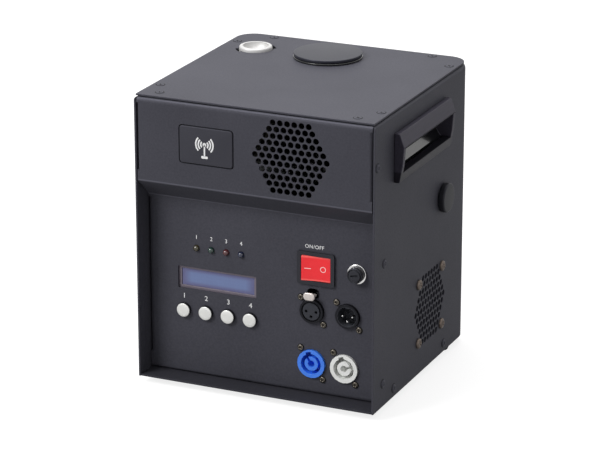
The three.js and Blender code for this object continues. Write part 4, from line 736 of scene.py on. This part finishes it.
class SPARK_OT_hopper(SparkOperator, Operator):
    """Build the hopper and its lid"""

    bl_idname = "spark_machine.hopper"
    bl_label = "Hopper and lid"

    def build(self, sizes, colours):
        size, spot, base, _ = GROUND.seat("hopper")
        rim, seat, flange = TOP_Z + sizes.hopper_rim, TOP_Z + 0.2, size[0] / 2
        bore, wall, shoulder = 22.5, 24.5, 182
        spout_bore, spout, neck = 6, 9.5, 158
        profile = [(bore, rim), (bore, shoulder), (spout_bore, neck), (spout_bore, base), (spout, base), (spout, neck),
                   (wall, shoulder), (wall, seat), (flange, seat), (flange, rim), (bore, rim)]
        canister = turned(eased(profile, 0.5), sizes.facets)
        piece("hopper_canister", GROUND.grids([canister], spot), shared(colours, "gloss_black_moulding"),
              replaces=["hopper"], slot="hopper_plastic")

        size, _, plug_end, _ = GROUND.seat("hopper_lid")
        under, top, radius = rim + 0.2, TOP_Z + sizes.lid_height, size[0] / 2
        plug, hollow, ceiling = 22.2, 22.2 - 1.8, under + 0.6
        profile = [(0, ceiling), (hollow, ceiling), (hollow, plug_end), (plug, plug_end), (plug, under),
                   (radius, under), (radius, top), (0, top)]
        disc = turned(eased(profile, 0.7, 5), 96)
        skin = moulded("lid_moulding", colours.plastic * (1.5, 1.5, 1.7), rough=0.4, grain=0.5, sheen=0.4)
        piece("lid", GROUND.grids([disc], spot), skin, body="lid", replaces=["hopper_lid"], slot="black_plastic",
              sharp=50)


class SPARK_OT_nozzle(SparkOperator, Operator):
    """Build the bright nozzle cup"""

    bl_idname = "spark_machine.nozzle"
    bl_label = "Nozzle cup"

    def build(self, sizes, colours):
        size, spot, base, _ = GROUND.seat("nozzle_cup")
        radius, rim, bowl = size[0] / 2, TOP_Z + sizes.nozzle_lip, TOP_Z - 4
        mouth, stub, bore = radius - 3.2, 9, 4.5
        t = np.linspace(-np.pi / 2, 0, 14)
        dish = np.column_stack([bore + np.cos(t) * (mouth - bore), rim + np.sin(t) * (rim - bowl)])
        outside = [dish[-1], (mouth + 0.1, rim), (radius - 0.5, rim), (radius, TOP_Z), (radius, bowl + 1),
                   (stub, base + 4), (stub, base), (bore, base)]
        cup = turned(np.concatenate([dish, eased(outside, 1.3, 7)[1:], dish[:1]]), 96)
        steel = turned_metal("nozzle_steel", colours.steel * 0.8, spot * MM)
        piece("nozzle", GROUND.grids([cup], spot), steel, replaces=["nozzle_cup"], slot="bright_steel", sharp=40)


class SPARK_OT_handles(SparkOperator, Operator):
    """Finish the two pocket handles"""

    bl_idname = "spark_machine.handles"
    bl_label = "Handles"

    def build(self, sizes, colours):
        # Below this height the handles are painted darker, a painted shade on the lip beneath.
        lip = (Box("handle_right").middle[2] - 11) * MM
        skin = streaked("handle_moulding", colours.plastic * (3.3, 2.85, 3.4), lip)
        for node in ("handle_right", "handle_left"):
            made = finished_copy(node, skin, bevel=0.5, segments=3, slot="gloss_black", sharp=25)
            faces = made.data.polygons
            made.data.materials.append(shared(colours, "gloss_black_moulding"))
            middles = np.zeros(len(faces) * 3)
            faces.foreach_get("center", middles)
            pocket = np.abs(middles[::3]) < (HALF_WIDTH - 1) * MM
            faces.foreach_set("material_index", pocket.astype(np.int32))


class SPARK_OT_knob(SparkOperator, Operator):
    """Build the side knob"""

    bl_idname = "spark_machine.knob"
    bl_label = "Side knob"

    def build(self, sizes, colours):
        size, spot, back, _ = RIGHT.seat("side_knob")
        radius, under, top, thread = size[1] / 2 - 0.4, 0.2, sizes.knob_height, 3
        profile = [(0, back), (thread, back), (thread, under), (radius, under), (radius, top), (0, top)]
        skin = moulded("knob_moulding", colours.plastic, rough=0.42, sheen=0.25)
        piece("knob", RIGHT.grids([turned(eased(profile, 1.5, 6), 96)], spot), skin, body="knob",
              replaces=["side_knob"], slot="gloss_black")


class SPARK_OT_fan(SparkOperator, Operator):
    """Finish the cooling fan and build its screws"""

    bl_idname = "spark_machine.fan"
    bl_label = "Cooling fan"

    def build(self, sizes, colours):
        skin = shared(colours, "black_moulding")
        finished_copy("cooling_fan_frame", skin, bevel=0.4, slot="black_plastic")
        finished_copy("cooling_fan_rotor", skin, body="cooling_fan", slot="black_plastic")
        head = pan_head(4.3, sizes.fan_screw_height) + np.array([0, 0, 0.2])
        bronze = metal("bronzed_screws", colours.bronze, 0.3, weight=0.8)
        for i in range(1, 5):
            _, spot, back, _ = RIGHT.seat(f"fan_screw_{i}")
            shank = turned([(0, back), (1.9, back), (1.9, 0.25), (0, 0.25)], 20)
            piece(f"fan_screw_head_{i}", RIGHT.grids([head, shank], spot), bronze, replaces=[f"fan_screw_{i}"],
                  slot="nickel", sharp=50)


class SPARK_OT_reader(SparkOperator, Operator):
    """Build the card reader's pad with its plain signal mark"""

    bl_idname = "spark_machine.reader"
    bl_label = "Card reader"

    def build(self, sizes, colours):
        size, spot, _, proud = HOOD.seat("card_reader_pad")
        border = 6
        width, height = size[:2] - border
        steps = [(0.55, -2.2), (0.55, proud - 0.6), (0.7, proud - 0.22), (1.0, proud - 0.05), (1.4, proud)]
        pad = risen(rounded(width, height, 3, 8), steps)
        skin = moulded("pad_moulding", colours.case * 0.75, rough=0.5, grain=0.6, sheen=0.3)
        piece("reader_pad", HOOD.grids([pad], spot), skin, replaces=["card_reader_pad"], slot="pad_plastic")
        # The lip behind the pad is black, a painted shade in the gap round the pad.
        lip = risen(rounded(width + border, height + border, 3), [(0, -3.7), (0, -1.7)])
        piece("reader_lip", HOOD.grids([lip], spot), shared(colours, "foot_rubber"), slot="pad_plastic")
        painted("card_reader_board", shared(colours, "circuit_board"))

        # The mark: a ball on a mast, and three arcs on either side.
        ball, half_line, half_angle = (-1.1, 1.5), 0.62, 0.78
        parts = [flat_ring(0.0, 1.6)]
        for wide, high, up in ((1.25, 9.4, -4.9), (5.6, 2.1, -10.2)):
            parts.append(risen(rounded(wide, high, 0.6, 3), [(0, 0), (0, 0.05)]) + np.array([0, up, 0]))
        for radius in (3.1, 5.25, 7.4):
            for middle in (0, np.pi):
                arc = (middle - half_angle, middle + half_angle)
                parts.append(flat_ring(radius - half_line, radius + half_line, *arc))
        piece("reader_mark", HOOD.grids(parts, spot + ball, lift=proud), shared(colours, "white_print"))


class SPARK_OT_display(SparkOperator, Operator):
    """Finish the display's bezel, glass and board"""

    bl_idname = "spark_machine.display"
    bl_label = "Display"

    def build(self, sizes, colours):
        bezel = metal("bezel_steel", colours.bezel, 0.45, weight=0.5)
        finished_copy("display_bezel", bezel, bevel=0.2, slot="zinc_sheet")
        box = Box("display_glass")
        width, _, height = (box.high - box.low) * MM
        columns, lines = 16, 2
        made = Finish("display_glass", specular_ior_level=0.4, emission_strength=0.26)
        x, _, z = made.axes()
        across = (x - box.low[0] * MM) * (columns / width)
        line = (z - box.low[2] * MM) * (lines / height)
        cell = abs(across.fraction() - 0.5).below(0.42, 0.05) * abs(line.fraction() - 0.5).below(0.42, 0.05)
        middle = abs(across - columns / 2).below(6.9, 1.1) * abs(line - lines / 2).below(0.68, 0.26)
        tone = middle * (0.8 + 0.3 * made.noise(45.0)) - cell * 0.06
        lit = made.mix(tone, opaque(colours.screen_edge), opaque(colours.screen))
        made.set(emission_color=lit)
        painted("display_glass", made.surface(lit, 0.2 + 0.06 * made.noise(300.0)))
        painted("display_board", shared(colours, "circuit_board"))


class SPARK_OT_keys(SparkOperator, Operator):
    """Build the four key caps"""

    bl_idname = "spark_machine.keys"
    bl_label = "Keys"

    def build(self, sizes, colours):
        silver = metal("key_cap", colours.caps, 0.3, weight=0.6, spots=0.05)
        radius, stem, collar, seat = 5.7, 2, 7, -1.7
        for i in range(1, 5):
            node = f"key_{i}"
            _, spot, back, proud = PANEL.seat(node)
            under = proud - 0.9
            skirt = [(0, back), (stem, back), (stem, seat - 1.2), (collar, seat - 1.2), (collar, seat), (radius, seat),
                     (radius, under), (0, under)]
            face = [(0, under - 0.2), (radius - 0.1, under - 0.2), (radius - 0.1, proud - 0.5),
                    (radius - 1.6, proud - 0.15), (0, proud)]
            for name, profile, coat, stands_for in (
                ("skirt", eased(skirt, 0.3), shared(colours, "black_moulding"), []),
                ("face", eased(face, 0.6, 6), silver, [node]),
            ):
                piece(f"key_{name}_{i}", PANEL.grids([turned(profile, sizes.facets)], spot), coat, body=node,
                      replaces=stands_for, slot="satin_silver_cap", sharp=50)


class SPARK_OT_lamps(SparkOperator, Operator):
    """Build the four lamps"""

    bl_idname = "spark_machine.lamps"
    bl_label = "Lamps"

    def build(self, sizes, colours):
        tints = {
            "lamp_amber": (0.05, 0.04, 0.012), "lamp_green": (0.006, 0.035, 0.025), "lamp_red": (0.09, 0.01, 0.012),
            "lamp_blue": (0.008, 0.014, 0.05),
        }
        t = np.linspace(0, np.pi / 2, 9)
        radius, collar = 2.5, 3.1
        for node, tint in tints.items():
            _, spot, back, _ = PANEL.seat(node)
            dome = np.column_stack([radius * np.cos(t), 0.6 + 2.4 * np.sin(t)])
            foot = [(0, back), (radius, back), (collar, back + 1), (collar, -1.7), (radius, -1.7)]
            glass = turned(np.concatenate([foot, dome]), 32)
            piece(node + "_lens", PANEL.grids([glass], spot), lens(node + "_lens", tint), replaces=[node], slot=node,
                  sharp=50)


class SPARK_OT_switch(SparkOperator, Operator):
    """Finish the power switch, and mark its rocker"""

    bl_idname = "spark_machine.switch"
    bl_label = "Power switch"

    def build(self, sizes, colours):
        bezel = moulded("switch_moulding", colours.plastic * 1.1, rough=0.4)
        finished_copy("switch_housing", bezel, bevel=0.5, segments=3, slot="gloss_black")
        middle = PANEL.spot("switch_housing") * MM
        # Painted glow: the rocker emits a little of its own colour though it holds no lamp, and bands along its top and
        # bottom edges are painted bright red, painted highlights.
        made = Finish("rocker_red", specular_ior_level=0.4, emission_strength=0.18)
        x, _, z = made.axes()
        across, up = x - middle[0], z - middle[1]
        bar = abs(across + 0.0064).below(0.0026, 0.0001) * abs(up).below(0.00025, 0.0001)
        ring = abs(distance(across, up, (0.006, 0)) - 0.0021).below(0.00025, 0.0001)
        waves = made.noise(120.0)
        red = made.tones(waves, colours.rocker, 0.9, 1.05)
        painted_glow_bands = made.mix(abs(up).below(0.0089, 0.0007), (1.0, 0.12, 0.11, 1.0), red)
        face = made.mix(bar.maximum(ring), painted_glow_bands, (0.95, 0.7, 0.68, 1.0))
        made.set(emission_color=face)
        finished_copy("switch_rocker", made.surface(face, 0.26 + 0.08 * waves), bevel=0.6, segments=3, body="rocker",
                      slot="red_plastic")


class SPARK_OT_fuse(SparkOperator, Operator):
    """Build the fuse holder's ring and its cap"""

    bl_idname = "spark_machine.fuse"
    bl_label = "Fuse holder"

    def build(self, sizes, colours):
        _, spot, back, _ = PANEL.seat("fuse_holder")
        barrel, bore, rim = 5.8, 4.2, 8
        profile = [(0, back), (4, back), (barrel, back + 8), (barrel, 0.2), (rim, 0.2), (rim, 1.4), (bore, 1.4),
                   (bore, back + 10), (0, back + 10)]
        holder = turned(eased(profile, 0.5), sizes.facets)
        steel = metal("fuse_ring", colours.steel * 1.2, 0.1, spots=0.05)
        piece("fuse_body", PANEL.grids([holder], spot), steel, replaces=["fuse_holder"], slot="bright_steel")

        size, spot, back, proud = PANEL.seat("fuse_cap")
        radius, stem, height, facets = size[0] / 2, 3.6, 1.6, 72
        cosine, sine = math.cos(0.2), math.sin(0.2)

        def relief(u, v):
            """A ring groove at 0.8 of the radius, and a deeper one straight across for the screwdriver."""
            ring = np.clip(1.6 - np.abs(np.hypot(u, v) - 0.8) / 0.05, 0, 1)
            return 0.7 * ring + 1.3 * groove(cosine * v - sine * u, cosine * u + sine * v, 0.09, 0.5, 0.06)

        shares = [0, 0.06, 0.12, 0.18, 0.26, 0.34, 0.42, 0.5, 0.58, 0.66, 0.71, 0.75, 0.8, 0.85, 0.89, 0.94, 0.98, 1.0]
        face = relief_head(radius, height, relief, shares, facets) + np.array([0, 0, proud - height])
        shaft = [(0, back), (stem, back), (stem, 1.7), (radius, 1.7), (radius, proud - 1.3), (0, proud - 1.3)]
        skin = moulded("fuse_moulding", colours.plastic * 1.6, rough=0.42, grain=0.15, sheen=0.4)
        piece("fuse_cap_head", PANEL.grids([face, turned(shaft, facets)], spot), skin, body="fuse_cap",
              replaces=["fuse_cap"], slot="black_plastic")


class SPARK_OT_signal_sockets(SparkOperator, Operator):
    """Finish the signal sockets and their pins, and build the latch tab"""

    bl_idname = "spark_machine.signal_sockets"
    bl_label = "Signal sockets"

    def build(self, sizes, colours):
        # The signal out socket's grey face is its own colour; the signal in socket's well is painted lighter, a painted
        # light in its shade.
        for node, name, lighter, radius in (
            ("signal_out_socket", "socket_insert", 3.2, sizes.socket_insert),
            ("signal_in_socket", "socket_well", 4.5, sizes.socket_well),
        ):
            skin = two_tone(name, colours.plastic, lighter, PANEL.spot(node) * MM, radius * MM)
            finished_copy(node, skin, bevel=0.3, slot="black_plastic")
        pin = metal("pin_plate", colours.steel, 0.15)
        for i in range(1, 4):
            finished_copy(f"signal_in_pin_{i}", pin, bevel=0.2, slot="satin_silver")
        (width, height, _), spot, back, proud = PANEL.seat("signal_out_latch")
        steps = [(0.3, -1.4), (0, -1.15), (0, -0.6), (0.25, -0.25), (0.8, -0.05), (1.6, 0)]
        tab = risen(rounded(width, height, 3.0, 8), [(inset, proud + rise) for inset, rise in steps])
        leg = risen(rounded(6.6, 1.6, 0.4, 3), [(0, back), (0, proud - 1.1)]) + np.array([0, -0.8, 0])
        plate = metal("latch_plate", (0.72, 0.66, 0.63), 0.35, weight=0.45, spots=0.04)
        piece("latch_tab", PANEL.grids([tab, leg], spot), plate, body="latch", replaces=["signal_out_latch"],
              slot="satin_silver")


class SPARK_OT_power_sockets(SparkOperator, Operator):
    """Finish the two locking power sockets"""

    bl_idname = "spark_machine.power_sockets"
    bl_label = "Power sockets"

    def build(self, sizes, colours):
        for node, name, tone, slot in (
            ("power_in_socket", "power_in_blue", colours.power_in, "blue_plastic"),
            ("power_out_socket", "power_out_pale", colours.power_out, "pale_plastic"),
        ):
            finished_copy(node, gloss_plastic(name, tone, rough=0.28), bevel=0.4, segments=3, slot=slot)


class SPARK_OT_inner(SparkOperator, Operator):
    """Finish the pieces inside the case"""

    bl_idname = "spark_machine.inner"
    bl_label = "Inner pieces"

    def build(self, sizes, colours):
        cast = metal("cast_aluminium", (0.6, 0.61, 0.62), 0.42, scale=700.0)
        steel = metal("raw_steel", (0.5, 0.5, 0.49), 0.3, stretch=(0.1, 1, 1))
        zinc = metal("zinc_plate", colours.zinc, 0.32)
        black = shared(colours, "black_moulding")
        table = {
            "heating_chamber": (steel, "raw_steel"),
            "insulation_sleeve": (woven("fibre_sleeve", (0.62, 0.59, 0.52)), "fibre_sleeve"),
            "feed_housing": (cast, "cast_aluminium"),
            "feed_auger": (steel, "raw_steel", "feed_screw"),
            "feed_motor": (metal("blackened_screws", colours.plastic * 0.6, 0.34, weight=0.6), "motor_black"),
            "blower_housing": (black, "black_plastic"),
            "blower_impeller": (black, "black_plastic", "impeller"),
            "blower_motor": (cast, "cast_aluminium"),
            "frame_plate": (zinc, "zinc_sheet"),
            "knob_bush": (zinc, "zinc_sheet"),
            "power_supply": (cast, "cast_aluminium"),
            "control_board": (shared(colours, "circuit_board"), "circuit_board"),
        }
        for node, (skin, slot, *body) in table.items():
            finished_copy(node, skin, slot=slot, body=body[0] if body else "case")


class SPARK_OT_screws(SparkOperator, Operator):
    """Build the case screws and the screws of the sockets"""

    bl_idname = "spark_machine.screws"
    bl_label = "Screws"

    def build(self, sizes, colours):
        # Black rubber for the painted shade round and in the screw heads.
        black = shared(colours, "foot_rubber")
        radius = sizes.case_screw
        top = [(-94, -70.5), (94, -70.5), (-85, -90), (83, -90.5), (-94, 71.5), (94, 71.5), (-70.6, 93.7), (70.6, 93.7)]
        side = [(-96.5, 206.3), (-81.5, 124.8), (-82.5, 25.5), (-60, 13.5), (47.5, 13.5)]
        # The top plate's screws lie almost flush; their cross shows as a dark mark, raised black bars that are a
        # painted shade of the recess.
        flush = turned(eased([(0, -0.1), (radius - 0.3, -0.1), (radius - 0.3, 0.3), (0, 0.3)], 0.2), 32)
        cosine, sine = math.cos(0.6), math.sin(0.6)
        turn = np.array([[cosine, sine, 0], [-sine, cosine, 0], Z])
        shade_bars = [risen(rounded(w, h, 0.3, 2), [(0, 0.2), (0, 0.34)]) @ turn for w, h in ((3.6, 0.9), (0.9, 3.6))]
        piece("top_screw_recesses", TOP.grids(shade_bars, *top), black, slot="black_plastic")

        signal, power = (9.6, 10.2), (9.4, 12.2)
        sockets = {"signal_out": signal, "signal_in": signal, "power_in": power, "power_out": power}
        beside = [
            PANEL.spot(name + "_socket") + (end * across, -end * up)
            for name, (across, up) in sockets.items()
            for end in (-1, 1)
        ]
        # Painted light: the heads' coat is the case's colour painted lighter, standing in for the light on their rims.
        coat = powder_coat("painted_screws", colours.case * 1.35)
        head = pan_head(radius, sizes.case_screw_height)
        small = pan_head(sizes.socket_screw, sizes.socket_screw_height, 28)
        # Black rings round the heads, flush with the case, are painted shade where the heads meet it.
        shade_ring = flat_ring(radius - 0.1, radius + 0.55, height=0.04)
        small_shade_ring = flat_ring(sizes.socket_screw - 0.1, sizes.socket_screw + 0.35, height=0.04)
        nickel = metal("nickel_plate", colours.nickel, 0.22)
        # Each row gives the heads, and in seat the black ring of painted shade round them.
        for name, face, spots, shape, seat, skin, slot in (
            ("top", TOP, top, flush, shade_ring, coat, "black_plastic"),
            ("right", RIGHT, side, head, shade_ring, coat, "black_plastic"),
            ("left", LEFT, [(-along, up) for along, up in side], head, shade_ring, coat, "black_plastic"),
            ("socket", PANEL, beside, small, small_shade_ring, nickel, "nickel"),
        ):
            piece(f"{name}_screws", face.grids([shape], *spots), skin, slot=slot, sharp=50)
            piece(f"{name}_screw_seats", face.grids([seat], *spots), black, slot=slot)


class SPARK_OT_print(SparkOperator, Operator):
    """Print the plain numbers and ON/OFF on the panel"""

    bl_idname = "spark_machine.print"
    bl_label = "Print"

    def build(self, sizes, colours):
        high, half = sizes.numeral, sizes.print_height / 2
        capital = 0.72  # height of a capital, as a share of the font's size
        on_off, by_lamp = high * 0.72, high * 0.8
        words = [("ON/OFF", "switch_housing", -1.5, 17.4, on_off)]
        words += [(str(i), f"key_{i}", 0, 11.5, high) for i in range(1, 5)]
        lamps = ("amber", "green", "red", "blue")
        words += [(str(i), "lamp_" + name, 0, 9.0, by_lamp) for i, name in enumerate(lamps, 1)]
        for n, (text, node, right, up, size) in enumerate(words, 1):
            curve = bpy.data.curves.new("text", "FONT")
            curve.body = text
            curve.size = size / capital
            curve.align_x = "CENTER"
            curve.align_y = "CENTER"
            curve.extrude = half
            curve.offset = size * 0.004
            curve.space_character = 1.1
            holder = bpy.data.objects.new("text", curve)
            mesh = bpy.data.meshes.new_from_object(holder)
            bpy.data.objects.remove(holder)
            points = np.zeros(len(mesh.vertices) * 3)
            mesh.vertices.foreach_get("co", points)
            points = PANEL.put(points.reshape(-1, 3), (*(PANEL.spot(node) + (right, up)), half)) * MM
            mesh.vertices.foreach_set("co", points.reshape(-1))
            mesh.update()
            dress(f"print_{n}", mesh, shared(colours, "white_print"))


class SPARK_OT_stage(SparkOperator, Operator):
    """Set the floor, the lights and the camera"""

    bl_idname = "spark_machine.stage"
    bl_label = "Stage"

    def build(self, sizes, colours):
        scene = bpy.context.scene

        # Camera: along an azimuth and elevation, from the distance that the picture's perspective gives.
        azimuth, elevation = math.radians(24.036), math.radians(18.928)
        width, focal, sensor, away = 600, 2917.93, 36.0, 2.36233
        level = math.cos(elevation)
        back = Vector((math.sin(azimuth) * level, -math.cos(azimuth) * level, math.sin(elevation)))
        right = Vector((math.cos(azimuth), math.sin(azimuth), 0))
        camera = bpy.data.objects.new("camera", bpy.data.cameras.new("camera"))
        camera.data.sensor_width = sensor
        camera.data.lens = focal / width * sensor
        camera.data.shift_x = -0.649 / width
        camera.data.shift_y = 0.501 / width
        camera.data.clip_end = 20.0
        turn = Matrix((right, back.cross(right), back)).transposed().to_4x4()
        turn.translation = Vector((-0.004811, 0, 0.115417)) + back * away
        camera.matrix_world = turn
        scene.collection.objects.link(camera)
        scene.camera = camera

        # Floor: a level sheet of white card, whose camera rays are lifted towards white.
        edge = np.linspace(-6000, 6000, 9)
        x, y = np.meshgrid(edge, edge)
        points, quads = grid(np.stack([x, y, np.zeros_like(x)], -1), wrap=False)
        mesh = bpy.data.meshes.new("floor")
        mesh.from_pydata(points * MM, [], quads)
        floor = bpy.data.objects.new("floor", mesh)
        scene.collection.objects.link(floor)
        card = Finish("floor_card", specular_ior_level=0.0, emission_color=(1, 1, 1, 1))
        card.set(emission_strength=card.ray("Camera") * 0.82 + card.ray("Glossy") * 0.25)
        mesh.materials.append(card.surface((0.34, 0.34, 0.34, 1), 0.9))

        # World: white to the camera, in reflections and through glass, and a plain grey light for the rest.
        scene.world = bpy.data.worlds.new("studio")
        air = Graph(scene.world)
        sky = next(n for n in air.tree.nodes if n.type == "BACKGROUND")
        sky.inputs["Color"].default_value = (1, 1, 1, 1)
        seen = air.ray("Camera").maximum(air.ray("Glossy")).maximum(air.ray("Transmission"))
        air.feed(sky.inputs["Strength"], 0.34 + 0.66 * seen)

        # Lamps: where each hangs, the side of its square in metres, and its watts.
        for name, place, size, power in (
            ("key_light", (-1.2, -1.6, 1.7), 1.0, 44.0),
            ("fill_light", (1.9, -0.7, 0.9), 1.2, 2.2),
            ("top_light", (-0.3, 0.35, 2.1), 1.3, 28.5),
        ):
            data = bpy.data.lights.new(name, "AREA")
            data.shape = "SQUARE"
            data.size = size
            data.energy = power
            lamp = bpy.data.objects.new(name, data)
            lamp.location = place
            lamp.rotation_euler = (Vector((0, 0, 0.12)) - Vector(place)).to_track_quat("-Z", "Y").to_euler()
            scene.collection.objects.link(lamp)
        scene.view_settings.view_transform = "Standard"


OPERATORS = tuple(SparkOperator.__subclasses__())


class SPARK_PT_machine(Panel):
    """Sizes, colours and parts of the machine"""

    bl_idname = "SPARK_PT_machine"
    bl_label = "Cold spark machine"
    bl_space_type = "VIEW_3D"
    bl_region_type = "UI"
    bl_category = "Spark machine"

    def draw(self, context):
        for group in (context.scene.spark_sizes, context.scene.spark_colours):
            column = self.layout.column()
            for key in group.__annotations__:
                column.prop(group, key)
        for operator in OPERATORS:
            self.layout.operator(operator.bl_idname)


CLASSES = (SparkSizes, SparkColours, *OPERATORS, SPARK_PT_machine)


def register():
    for cls in CLASSES:
        bpy.utils.register_class(cls)
    Scene.spark_sizes = PointerProperty(type=SparkSizes)
    Scene.spark_colours = PointerProperty(type=SparkColours)


def unregister():
    del Scene.spark_colours
    del Scene.spark_sizes
    for cls in reversed(CLASSES):
        bpy.utils.unregister_class(cls)


def main():
    register()
    for operator in OPERATORS:
        group, name = operator.bl_idname.split(".")
        getattr(getattr(bpy.ops, group), name)()


if __name__ == "__main__":
    main()
